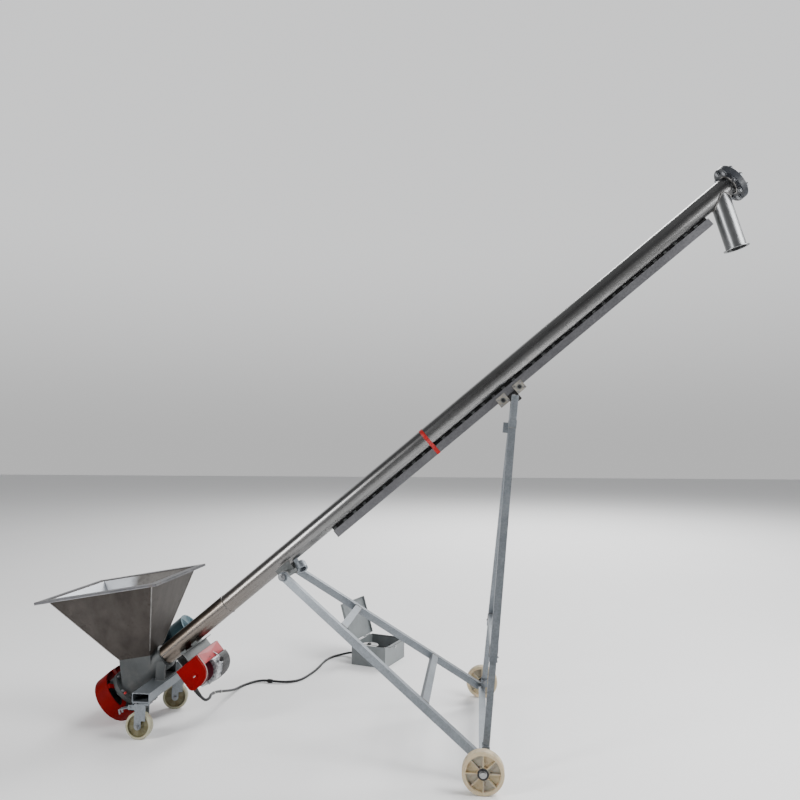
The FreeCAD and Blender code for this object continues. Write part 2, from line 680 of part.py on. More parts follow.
def two_circle_hull(big, small, thick, x):
    """The plate that two circles and their outer tangents bound, square to the tube."""
    centre = Vector(0, float(D.motor_y), float(D.motor_o))
    span = centre.Length
    tilt = math.asin((big - small) / span)
    ahead = math.atan2(centre.z, centre.y)
    points = []
    for side in (1, -1):
        angle = ahead + side * (math.pi / 2 - tilt)
        spoke = Vector(0, math.cos(angle), math.sin(angle))
        points.append((spoke * big, centre + spoke * small))
    (big_a, small_a), (big_b, small_b) = points
    far = centre + Vector(0, math.cos(ahead), math.sin(ahead)) * small
    near = Vector(0, -math.cos(ahead), -math.sin(ahead)) * big
    outline = Part.Wire([Part.LineSegment(big_a, small_a).toShape(), Part.Arc(small_a, far, small_b).toShape(),
                         Part.LineSegment(small_b, big_b).toShape(), Part.Arc(big_b, near, big_a).toShape()])
    face = Part.Face(outline)
    return face.extrude(Vector(thick, 0, 0)).translated(Vector(x, 0, 0))


def build_drive():
    """Pulleys, belts, guard, motor and the plate that carries it."""
    pulley("driven_pulley", D.driven_od / 2, D.shaft_d / 2 + D.fit, along_tube(D.pulley_s))
    motor_line = TUBE.multiply(Placement(Vector(float(D.pulley_s), float(D.motor_y), float(D.motor_o)), Rotation()))
    pulley("motor_pulley", D.motor_pulley_od / 2, D.motor_shaft_d / 2 + D.fit, motor_line)

    big, small = float(D.driven_od) / 2, float(D.motor_pulley_od) / 2
    groove = float(D.belt_width) + 1
    first = (float(D.pulley_width) - float(D.belt_pitch) - groove) / 2 + 0.5
    belts = []
    for k in range(2):
        x = float(D.pulley_s) + first + k * float(D.belt_pitch)
        tall = float(D.belt_height)
        outer = two_circle_hull(big, small, float(D.belt_width), x)
        inner = two_circle_hull(big - tall, small - tall, float(D.belt_width) + 2, x - 1)
        belts.append(outer.cut(inner))
    shape_node("drive_belts", Part.makeCompound(belts), TUBE)

    wall = float(D.guard_wall)
    depth = float(D.guard_depth)
    x = float(D.guard_outer)
    big, small = float(D.guard_radius), float(D.guard_small)
    shell = two_circle_hull(big, small, depth, x).cut(two_circle_hull(big - wall, small - wall, depth, x + wall))
    foot_x = -float(D.end_plate_thick) - 4.2
    tabs = []
    for angle in (90, 150, 210, 270):
        tab = Part.makeBox(4, 26, big - 84, Vector(foot_x, -13, 82))
        riser = Part.makeBox(foot_x + 4 - (x + depth) + 20, 26, 4, Vector(x + depth - 20, -13, big - wall - 4))
        tabs.append(tab.fuse(riser).rotated(Vector(0, 0, 0), Vector(1, 0, 0), angle - 90))
    shape_node("belt_guard", shell.fuse(tabs).removeSplitter(), TUBE)

    bearing = fuse("bearing_whole", block("bearing_foot", 12, 104, 104, x=-D.end_plate_thick - 12, y=-52, z=-52),
                   rod("bearing_boss", 39, 34, x=-D.end_plate_thick - 34, along="x"))
    bearing_bore = rod("bearing_bore", D.shaft_d / 2 + D.fit, 60, x=-60, along="x")
    node(cut("lower_bearing", bearing, bearing_bore), TUBE)

    build_motor()


def build_motor():
    """Motor, fan cover, shaft and mounting plate."""
    y, o = D.motor_y, D.motor_o
    radius = D.motor_od / 2
    start = D.motor_start
    barrel = rod("motor_barrel", radius - 10, D.motor_body, x=start, y=y, z=o, along="x")
    front = rod("motor_front", radius, 22, x=start, y=y, z=o, along="x")
    rear = rod("motor_rear", radius, 18, x=start + D.motor_body - 18, y=y, z=o, along="x")
    feet = block("motor_feet", 150, 150, 26, x=start + 45, y=y - 75, z=o - radius - 4)
    terminal = block("motor_terminal_box", 105, 100, 62, x=start + 60, y=y - 50, z=o + radius - 22)
    nose = rod("motor_nose", 30, 16, x=start - 16, y=y, z=o, along="x")
    bore = rod("motor_bore", D.motor_shaft_d / 2 + D.fit, 140, x=start - 20, y=y, z=o, along="x")
    node(cut("motor_body", fuse("motor_whole", barrel, front, rear, feet, terminal, nose), bore), TUBE)

    cover_x = start + D.motor_body + 0.3
    shell = rod("cover_outer", radius, D.fan_cover, x=cover_x, y=y, z=o, along="x")
    hollow = rod("cover_hollow", radius - 2, D.fan_cover - 2, x=cover_x - 0.1, y=y, z=o, along="x")
    node(cut("motor_fan_cover", shell, hollow), TUBE)

    shaft_start = D.pulley_s - 3
    body = new_body("motor_shaft")
    outline = new_sketch(body, "motor_shaft_outline", "YZ_Plane")
    circle(outline, D.motor_shaft_d / 2)
    pad(body, outline, start + 110 - shaft_start)
    node(body, TUBE.multiply(Placement(Vector(float(shaft_start), float(y), float(o)), Rotation())))

    plate_top = o - radius - 4.2
    casing_side = D.casing_od / 2 + D.gap
    bottom = plate_top - D.mount_thick
    plate = block("mount_plate", 230, y - casing_side + 73, D.mount_thick, x=30, y=casing_side + 22, z=bottom)
    root = block("mount_root", 170, 30, D.mount_thick, x=30, y=casing_side, z=bottom)
    cheek = block("mount_cheek", 170, 8, 50, x=30, y=casing_side, z=bottom - 10)
    gusset = block("mount_gusset", 8, 150, 34, x=140, y=casing_side, z=bottom - 30)
    node(fuse("motor_mount", plate, root, cheek, gusset), TUBE)


# ------------------------------------------------------------------ rail, lugs, beam and casters
def build_rail():
    """Slotted channel under the tube, on a row of pads."""
    half, wall, lips = D.rail_width / 2, D.rail_wall, D.rail_slot / 2
    body = new_body("guide_rail")
    profile = new_sketch(body, "rail_profile", "YZ_Plane")
    floor = -D.rail_width
    polygon(profile, [
        (-half, size(-0.001)), (half, size(-0.001)), (half, floor), (lips, floor), (lips, floor + wall),
        (half - wall, floor + wall), (half - wall, -wall), (wall - half, -wall), (wall - half, floor + wall),
        (-lips, floor + wall), (-lips, floor), (-half, floor)])
    pad(body, profile, D.rail_end - D.rail_start)
    node(body, TUBE.multiply(Placement(Vector(float(D.rail_start), 0, -float(D.rail_drop)), Rotation())))

    count = int((float(D.rail_end) - float(D.rail_start) - float(D.pad_length)) // float(D.pad_step)) + 1
    pads = [block(f"rail_pad_{k}", D.pad_length, D.pad_width, D.rail_drop - TUBE_RADIUS - D.gap,
                  x=D.rail_start + D.pad_step * k + 4, y=-D.pad_width / 2, z=-D.rail_drop)
            for k in range(count)]
    node(group("rail_pads", *pads), TUBE)


def build_pivot_lugs():
    """Two plates under the tube with the sleeve that the frame's shaft turns in, and the rope eye."""
    s, o = D.pivot_s, D.pivot_o
    seat = rod("lug_seat", TUBE_RADIUS + D.gap, 400, x=s - 200, along="x")
    plates = [block(f"lug_plate_{k}", 96, 8, o, x=s - 48, y=y, z=-o) for k, y in enumerate((-48, 40))]
    sleeve = rod("lug_sleeve", 21, 220, x=s, y=-110, z=-o, along="y")
    bore = rod("lug_bore", D.pivot_d / 2 + D.fit, 240, x=s, y=-120, z=-o, along="y")
    node(cut("pivot_lugs", fuse("lugs_whole", *plates, sleeve), seat, bore), TUBE)

    lean = math.radians(55)
    aim = Vector(0, -math.cos(lean), -math.sin(lean))
    centre = Vector(float(s) + 79, -10, -float(o) - 18)
    eye = aimed_rod("eye_ring", 32, 44, centre - aim * 22, aim)
    hole = aimed_rod("eye_hole", 21, 60, centre - aim * 30, aim)
    stem = block("eye_stem", 24, 12, 60, x=centre.x - 12, y=-27, z=centre.z + 20)
    tube_side = rod("eye_seat", TUBE_RADIUS + D.gap, 300, x=centre.x - 150, along="x")
    node(cut("rope_eye", fuse("eye_whole", eye, stem), hole, tube_side), TUBE)


def build_caster_beam():
    """Flat tube across the lower end, and the two uprights that carry the casing on it."""
    top = D.caster_height + D.beam_tall
    outer = block("beam_outer", D.beam_wide, D.beam_half * 2, D.beam_tall, x=D.beam_x - D.beam_wide / 2,
                  y=-D.beam_half, z=D.caster_height)
    inner = block("beam_inner", D.beam_wide - D.beam_wall * 2, D.beam_half * 2 + 2, D.beam_tall - D.beam_wall * 2,
                  x=D.beam_x - D.beam_wide / 2 + D.beam_wall, y=-D.beam_half - 1, z=D.caster_height + D.beam_wall)
    holes = [rod(f"beam_hole_{k}", 8.3, 30, x=D.beam_x, y=y, z=D.caster_height - 5)
             for k, y in enumerate((-D.caster_y, D.caster_y))]
    in_ground = GROUND.inverse().multiply(TUBE)
    seats = [rod(f"casing_seat_{k}", D.casing_od / 2 + D.gap, D.casing_length + 100, along="x") for k in range(2)]
    for seat in seats:
        place_in(seat, in_ground)
    node(cut("caster_beam", outer, inner, seats[0], *holes), GROUND)

    side = D.casing_od / 2 + D.gap
    plates = []
    for name, sign in LEFT_RIGHT:
        y = side if sign > 0 else -side - 10
        plate = block(f"upright_{name}_plate", 56, 10, 84, x=D.beam_x - 20, y=y, z=top)
        round_top = rod(f"upright_{name}_top", 28, 10, x=D.beam_x + 8, y=y, z=top + 84, along="y")
        plates.append(fuse(f"upright_{name}", plate, round_top))
    bottom = block("saddle_plate", 56, side * 2 - 0.4, 8, x=D.beam_x - 20, y=0.2 - side, z=top)
    node(group("beam_uprights", *plates, cut("saddle", bottom, seats[1])), GROUND)


def caster_frame(sign, yaw):
    """Frame of a caster: its swivel axis on the ground, turned to the way it trails."""
    spot = Vector(AXLE.x + float(D.beam_x), AXLE.y + sign * float(D.caster_y), 0)
    return Placement(spot, Rotation(Vector(0, 0, 1), yaw))


def build_casters():
    """Two swivel casters that trail towards the lower end; the right-hand one has a brake."""
    radius, width, height = D.caster_d / 2, D.caster_w, D.caster_height
    bolt, trail, inside, sheet_t = D.caster_bolt / 2, D.caster_trail, D.fork_gap / 2, D.fork_sheet
    mounts = []
    for name, sign in LEFT_RIGHT:
        x, y = D.beam_x, sign * D.caster_y
        plate = block(f"mount_{name}_plate", 104, 84, 5, x=x - 52, y=y - 42, z=height - 5.2)
        king = rod(f"mount_{name}_pin", 8, 42, x=x, y=y, z=height - 38)
        head = rod(f"mount_{name}_head", 13, 5, x=x, y=y, z=height - 43)
        mounts.append(fuse(f"caster_{name}_mount", plate, king, head))
    node(group("caster_mounts", *mounts), GROUND)

    for (name, sign), yaw in zip(LEFT_RIGHT, (16.0, 0.0)):
        frame = caster_frame(sign, yaw)
        crown_top = height - 5.6
        race = rod(f"{name}_race", 33, 16, z=crown_top - 16)
        crown = block(f"{name}_crown", 82, inside * 2 + sheet_t * 2, 6, x=-52, y=-inside - sheet_t, z=crown_top - 22)
        side_plates = []
        for tag, edge in (("a", inside), ("b", -inside - sheet_t)):
            web = block(f"{name}_web_{tag}", 62, sheet_t, crown_top - 22 - radius - 30 + 6, x=-50, y=edge,
                        z=radius + 30)
            lower = block(f"{name}_leg_{tag}", 40, sheet_t, 56, x=-trail - 20, y=edge, z=radius)
            eye = rod(f"{name}_eye_{tag}", 20, sheet_t, x=-trail, y=edge, z=radius, along="y")
            side_plates += [web, lower, eye]
        axle = rod(f"{name}_axle", bolt, inside * 2 + 24, x=-trail, y=-inside - 12, z=radius, along="y")
        nut = rod(f"{name}_nut", 10, inside * 2 + 16, x=-trail, y=-inside - 8, z=radius, along="y")
        clear = rod(f"{name}_nut_gap", 12, inside * 2, x=-trail, y=-inside, z=radius, along="y")
        nuts = cut(f"{name}_nuts", nut, clear)
        hole = rod(f"{name}_king_hole", 8 + D.fit, 60, z=crown_top - 50)
        if sign < 0:
            side_plates += brake_bracket()
        whole = fuse(f"{name}_fork_whole", race, crown, *side_plates, axle, nuts)
        node(cut(f"caster_fork_{name}", whole, hole), frame)
        build_caster_wheel(name, frame, radius, width, bolt, trail)
    build_brake()


def build_caster_wheel(name, frame, radius, width, bolt, trail):
    """A nylon wheel turned from a profile, thinner between its hub and its tread."""
    body = new_body(f"caster_wheel_{name}")
    profile = new_sketch(body, f"caster_{name}_profile", "XY_Plane")
    half = width / 2
    polygon(profile, [
        (bolt + D.fit, -half - 2), (size(16), -half - 2), (size(18), -half + 8), (radius - 19, -half + 8),
        (radius - 16, -half), (radius - 5, -half), (radius, -half + 5), (radius, half - 5), (radius - 5, half),
        (radius - 16, half), (radius - 19, half - 8), (size(18), half - 8), (size(16), half + 2),
        (bolt + D.fit, half + 2)])
    revolve(body, profile, "V_Axis")
    node(body, frame.multiply(Placement(Vector(-float(trail), 0, float(radius)), Rotation())))


def brake_bracket():
    """Ears outside the right-hand fork, with the pin that the pedal turns on."""
    half = D.fork_gap / 2
    ears = [block(f"brake_ear_{k}", 44, 4, 26, x=-88, y=y, z=163)
            for k, y in enumerate((-half - D.fork_sheet, half))]
    return ears + [rod("brake_pin", 4, D.fork_gap + 16, x=-78, y=-half - 8, z=176, along="y")]


def build_brake():
    """Foot brake of the right-hand caster: a bent pedal between the fork's side plates."""
    frame = caster_frame(-1, 0.0)
    inside = float(D.fork_gap) / 2
    pivot = Vector(-78, 0, 176)
    bent = Placement(Vector(), Rotation(Vector(0, 1, 0), -14), pivot)
    pedal = block("pedal_plate", 74, 40, 4)
    place_in(pedal, bent.multiply(Placement(Vector(-152, -20, 172), Rotation())))
    claws = []
    for k, y in enumerate((-19, 11)):
        claw = block(f"pedal_claw_{k}", 7, 8, 26)
        claws.append(place_in(claw, bent.multiply(Placement(Vector(-152, y, 150), Rotation()))))
    barrel = rod("pedal_barrel", 7, D.fork_gap - 4, x=pivot.x, y=-D.fork_gap / 2 + 2, z=pivot.z, along="y")
    hole = rod("pedal_hole", D.fit + 4, 60, x=pivot.x, y=-30, z=pivot.z, along="y")
    node(cut("brake_pedal", fuse("pedal_whole", pedal, barrel, *claws), hole), frame)


# ------------------------------------------------------------------ lower frame and road wheels
def hollow_bar(name, length, outer, wall):
    """A square tube along X about its own centre line."""
    wide = block(name + "_outer", length, outer, outer, y=-outer / 2, z=-outer / 2)
    inner = outer - wall * 2
    hole = block(name + "_inner", size(length) + 2, inner, inner, x=-1, y=-inner / 2, z=-inner / 2)
    return cut(name, wide, hole)


def splayed(obj, x, y, angle):
    """Lay a bar in its plane from a point, turned about the plane's normal."""
    obj.Placement = Placement(Vector(x, y, 0), Rotation(Vector(0, 0, 1), angle))
    return obj


def build_lower_frame():
    """Two splayed tubes from the pivot to the axle beam, with two crossbars between them."""
    run = FRAME_LENGTH
    spread = float(D.axle_half) - float(D.pivot_half)
    splay = math.degrees(math.atan2(spread, run))
    long_run = math.hypot(run, spread)
    eye = 25.0
    tubes = []
    for name, sign in LEFT_RIGHT:
        rail = splayed(hollow_bar(f"frame_{name}_stock", long_run, D.bar_side, D.bar_wall), 0,
                       sign * float(D.pivot_half), sign * splay)
        pivot_cope = rod(f"frame_{name}_cope", eye + D.gap, 90, y=sign * D.pivot_half - 45, along="y")
        past_axle = block(f"frame_{name}_end", 80, 200, 80, x=run - 20, y=sign * D.axle_half - 100, z=-40)
        room = D.bar_side + D.gap * 2
        axle_cope = block(f"frame_{name}_seat", room, 240, room, x=-room / 2, y=sign * D.axle_half - 120, z=-room / 2)
        place_in(axle_cope, FRAME.inverse().multiply(Placement(AXLE, Rotation())))
        tubes.append(cut(f"frame_tube_{name}", rail, pivot_cope, past_axle, axle_cope))
    node(group("frame_tubes", *tubes), FRAME)

    bars = []
    for tag, place in (("upper", D.cross_one), ("lower", D.cross_two)):
        reach = float(D.pivot_half) + spread * float(place) / run
        bar = hollow_bar(f"cross_{tag}", 2 * reach, D.bar_side, D.bar_wall)
        bar.Placement = Placement(Vector(float(place), -reach, 0), Rotation(Vector(0, 0, 1), 90))
        sides = []
        for name, sign in LEFT_RIGHT:
            room = block(f"cross_{tag}_{name}", long_run, D.bar_side + D.gap * 2, D.bar_side + 10,
                         y=-D.bar_side / 2 - D.gap, z=-D.bar_side / 2 - 5)
            place_in(room, Placement(Vector(0, sign * float(D.pivot_half), 0),
                                     Rotation(Vector(0, 0, 1), sign * splay)))
            beyond = block(f"cross_{tag}_{name}_past", 200, 200, 80, x=place - 100,
                           y=reach if sign > 0 else -reach - 200, z=-40)
            sides += [room, beyond]
        bars.append(cut(f"crossbar_{tag}", bar, *sides))
    node(group("frame_crossbars", *bars), FRAME)

    eyes = [rod(f"head_eye_{name}", eye, 44, y=sign * D.pivot_half - 22, along="y") for name, sign in LEFT_RIGHT]
    shaft = rod("shaft_middle", D.pivot_d / 2, D.pivot_half * 2 + 60, y=-D.pivot_half - 30, along="y")
    caps = [rod(f"shaft_cap_{k}", 19, 6, y=y, along="y")
            for k, y in enumerate((-D.pivot_half - 30, D.pivot_half + 24))]
    node(fuse("frame_head", shaft, *eyes, *caps), FRAME)


def build_axle():
    """Axle beam, leg brackets and the two stub axles."""
    beam = hollow_bar("axle_beam", D.beam_end * 2, D.bar_side, D.bar_wall)
    node(beam, Placement(Vector(AXLE.x, AXLE.y - float(D.beam_end), AXLE.z), Rotation(Vector(0, 0, 1), 90)))

    top, rise = D.bar_side / 2 + D.gap, D.foot_z - D.wheel_d / 2
    brackets = []
    for name, sign in LEFT_RIGHT:
        y = D.foot_half * sign
        ears = [block(f"foot_ear_{name}_{k}", 38, 6, rise + 16 - top, x=D.foot_x - 19, y=y + side, z=top)
                for k, side in enumerate((-30.4, 24.4))]
        base = block(f"foot_base_{name}", 38, 60.8, 4, x=D.foot_x - 19, y=y - 30.4, z=top)
        pin = rod(f"foot_pin_{name}", D.pin_d / 2, 70, x=D.foot_x, y=y - 35, z=rise, along="y")
        brackets.append(fuse(f"foot_bracket_{name}", base, pin, *ears))
    node(group("foot_brackets", *brackets), Placement(AXLE, Rotation()))

    face = D.wheel_track / 2
    inner = face - D.wheel_w
    stubs = []
    for name, sign in LEFT_RIGHT:
        steps = [("cap", 24, D.beam_end, D.beam_end + 6), ("spacer", 17, D.beam_end + 5, inner - 0.6),
                 ("pin", D.wheel_bore / 2, inner - 2, face + 6), ("washer", 18, face + 0.6, face + 3.6),
                 ("nut", 14, face + 3, face + 14)]
        pieces = []
        for tag, radius, start, end in steps:
            length = size(end) - start
            y = start if sign > 0 else -size(start) - length
            pieces.append(rod(f"stub_{name}_{tag}", radius, length, y=y, along="y"))
        stubs.append(fuse(f"stub_{name}", *pieces))
    node(group("stub_axles", *stubs), Placement(AXLE, Rotation()))


def build_road_wheel(name, sign):
    """A nylon wheel: hub, web and tread turned from a profile, with radial ribs."""
    body = new_body(f"road_wheel_{name}")
    profile = new_sketch(body, f"{name}_wheel_profile", "XY_Plane")
    radius, half, bore = D.wheel_d / 2, D.wheel_w / 2, D.wheel_bore / 2 + D.fit
    polygon(profile, [
        (bore, -half), (size(29), -half), (size(31), -half + 14), (radius - 20, -half + 14), (radius - 17, -half),
        (radius - 4, -half), (radius, -half + 4), (radius, half - 4), (radius - 4, half), (radius - 17, half),
        (radius - 20, half - 14), (size(31), half - 14), (size(29), half), (bore, half)])
    revolve(body, profile, "V_Axis")
    DOC.recompute()
    rib = new_sketch(body, f"{name}_wheel_rib", "XY_Plane")
    rectangle(rib, radius - 44, D.wheel_w - 5, x=radius / 2 + 5)
    web = pad(body, rib, 7, midplane=True)
    DOC.recompute()
    repeat_round(body, web, "Y_Axis", D.wheel_ribs)
    middle = float(D.wheel_track) / 2 - float(D.wheel_w) / 2
    node(body, Placement(AXLE + Vector(0, sign * middle, 0), Rotation()))


# ------------------------------------------------------------------ legs and trolley
def build_legs():
    """Telescopic legs that splay from a head block to the axle beam."""
    rise = float(D.head_block)
    spread = float(D.foot_half) - float(D.head_half)
    splay = math.degrees(math.atan2(spread, rise))
    slant = math.cos(math.radians(splay))
    sleeves, inners = [], []
    for name, sign in LEFT_RIGHT:
        start = float(D.sleeve_low) / slant
        sleeve = hollow_bar(f"sleeve_{name}_stock", (rise - float(D.sleeve_low)) / slant + 20, D.leg_bar, D.bar_wall)
        angle = -sign * splay
        along = Vector(math.cos(math.radians(angle)), math.sin(math.radians(angle)), 0)
        base = Vector(0, sign * float(D.foot_half), 0)
        sleeve.Placement = Placement(base + along * start, Rotation(Vector(0, 0, 1), angle))
        past_head = block(f"sleeve_{name}_end", 200, 300, 100, x=rise - 0.2, y=-150, z=-50)
        sleeves.append(cut(f"leg_sleeve_{name}", sleeve, past_head))
        inner = hollow_bar(f"leg_inner_{name}", 900, D.leg_inner, D.bar_wall)
        inner.Placement = Placement(base + along * 14, Rotation(Vector(0, 0, 1), angle))
        eye = rod(f"leg_eye_{name}", 17, 48, y=sign * D.foot_half - 24, along="y")
        bore = rod(f"leg_eye_bore_{name}", D.pin_d / 2 + D.fit, 60, y=sign * D.foot_half - 30, along="y")
        inners.append(cut(f"leg_tube_{name}", fuse(f"leg_whole_{name}", inner, eye), bore))
    node(group("leg_sleeves", *sleeves), LEGS)
    node(group("leg_inner_tubes", *inners), LEGS)

    reach = float(D.foot_half) - spread * float(D.leg_cross) / rise
    bar = hollow_bar("leg_cross_stock", 2 * reach, D.bar_side, D.bar_wall)
    bar.Placement = Placement(Vector(float(D.leg_cross), -reach, 0), Rotation(Vector(0, 0, 1), 90))
    sides = []
    for name, sign in LEFT_RIGHT:
        room = block(f"leg_cross_{name}", rise, D.leg_bar + D.gap * 2, D.leg_bar + 10,
                     y=-D.leg_bar / 2 - D.gap, z=-D.leg_bar / 2 - 5)
        place_in(room, Placement(Vector(0, sign * float(D.foot_half), 0),
                                 Rotation(Vector(0, 0, 1), -sign * splay)))
        beyond = block(f"leg_cross_{name}_past", 200, 200, 80, x=D.leg_cross - 100,
                       y=reach if sign > 0 else -reach - 200, z=-40)
        sides += [room, beyond]
    node(cut("leg_crossbar", bar, *sides), LEGS)

    half, block_x = D.head_half, D.head_block
    yoke = block("head_yoke", 44, half * 2 + 44, 44, x=block_x, y=-half - 22, z=-22)
    neck = block("head_neck", size(LEG_LENGTH) - block_x, 16, 34, x=block_x, y=-8, z=-17)
    nose = rod("head_nose", 17, 16, x=LEG_LENGTH, y=-8, along="y")
    pin = rod("head_pin", D.pin_d / 2, 76, x=LEG_LENGTH, y=-38, along="y")
    ends = [rod(f"head_end_{k}", 13, 4, x=LEG_LENGTH, y=y, along="y") for k, y in enumerate((-38, 34))]
    lug = block("head_lug", 60, 6, 40, x=block_x - 30, y=half - 40, z=10)
    node(fuse("leg_head", yoke, neck, nose, pin, lug, *ends), LEGS)


def build_trolley():
    """Trolley that runs in the rail: web, hanger plates, cheek blocks and rollers."""
    s, o = D.trolley_s, D.head_o
    roll_o = D.rail_drop + D.rail_width / 2
    roller_s = [s - D.roller_half, s + D.roller_half]
    base_top = D.rail_drop + D.rail_width + 4
    web = block("trolley_web", 165, 8, base_top - roll_o + 8, x=s - 82.5, y=-4, z=-base_top)
    bar = block("trolley_bar", 180, 44, 12, x=s - 90, y=-22, z=-base_top - 12)
    hangers = []
    for k, (y, link_y) in enumerate(((-30, -30), (24, 16))):
        hangers.append(block(f"hanger_{k}", 58, 6, o + 28 - base_top, x=s - 29, y=y, z=-o - 28))
        hangers.append(block(f"hanger_link_{k}", 58, 14, 12, x=s - 29, y=link_y, z=-base_top - 12))
    hole = rod("trolley_head_hole", D.head_hole / 2, 100, x=s, y=-50, z=-o, along="y")
    axle_holes = [rod(f"trolley_axle_hole_{k}", D.fit + 6, 40, x=x, y=-20, z=-roll_o, along="y")
                  for k, x in enumerate(roller_s)]
    node(cut("trolley_body", fuse("trolley_whole", web, bar, *hangers), hole, *axle_holes), TUBE)

    inner = D.rail_width / 2 + 1.5
    cheeks, rollers = [], []
    for k, x in enumerate(roller_s):
        for side, plate_y, filler_y in (("near", -inner - 8, -inner - 1), ("far", inner, size(22.2))):
            plate = block(f"cheek_plate_{side}_{k}", 62, 8, 56, x=x - 31, y=plate_y, z=-base_top - 26)
            filler = block(f"cheek_filler_{side}_{k}", 56, inner + 1 - 22.2, 12, x=x - 28, y=filler_y,
                           z=-base_top - 12)
            cheeks.append(fuse(f"cheek_{side}_{k}", plate, filler))
        wheels = [rod(f"roller_{side}_{k}", D.roller_d / 2, 12, x=x, y=y, z=-roll_o, along="y")
                  for side, y in (("near", -17), ("far", 5))]
        spindle = rod(f"roller_spindle_{k}", 6, 34, x=x, y=-17, z=-roll_o, along="y")
        rollers.append(fuse(f"roller_pair_{k}", spindle, *wheels))
    node(group("trolley_cheeks", *cheeks), TUBE)
    node(group("trolley_rollers", *rollers), TUBE)


# ------------------------------------------------------------------ hoist
def rounded_plate(left, right, top, bottom, small, big):
    """An upright plate outline with square upper corners and two lower corners of different radius."""
    mid = math.sqrt(0.5)
    a = Vector(left, 0, top)
    b = Vector(right, 0, top)
    c1, c2 = Vector(right, 0, bottom + big), Vector(right - big, 0, bottom)
    cm = Vector(right - big * (1 - mid), 0, bottom + big * (1 - mid))
    d1, d2 = Vector(left + small, 0, bottom), Vector(left, 0, bottom + small)
    dm = Vector(left + small * (1 - mid), 0, bottom + small * (1 - mid))
    edges = [Part.LineSegment(a, b).toShape(), Part.LineSegment(b, c1).toShape(), Part.Arc(c1, cm, c2).toShape(),
             Part.LineSegment(c2, d1).toShape(), Part.Arc(d1, dm, d2).toShape(), Part.LineSegment(d2, a).toShape()]
    return Part.Face(Part.Wire(edges))


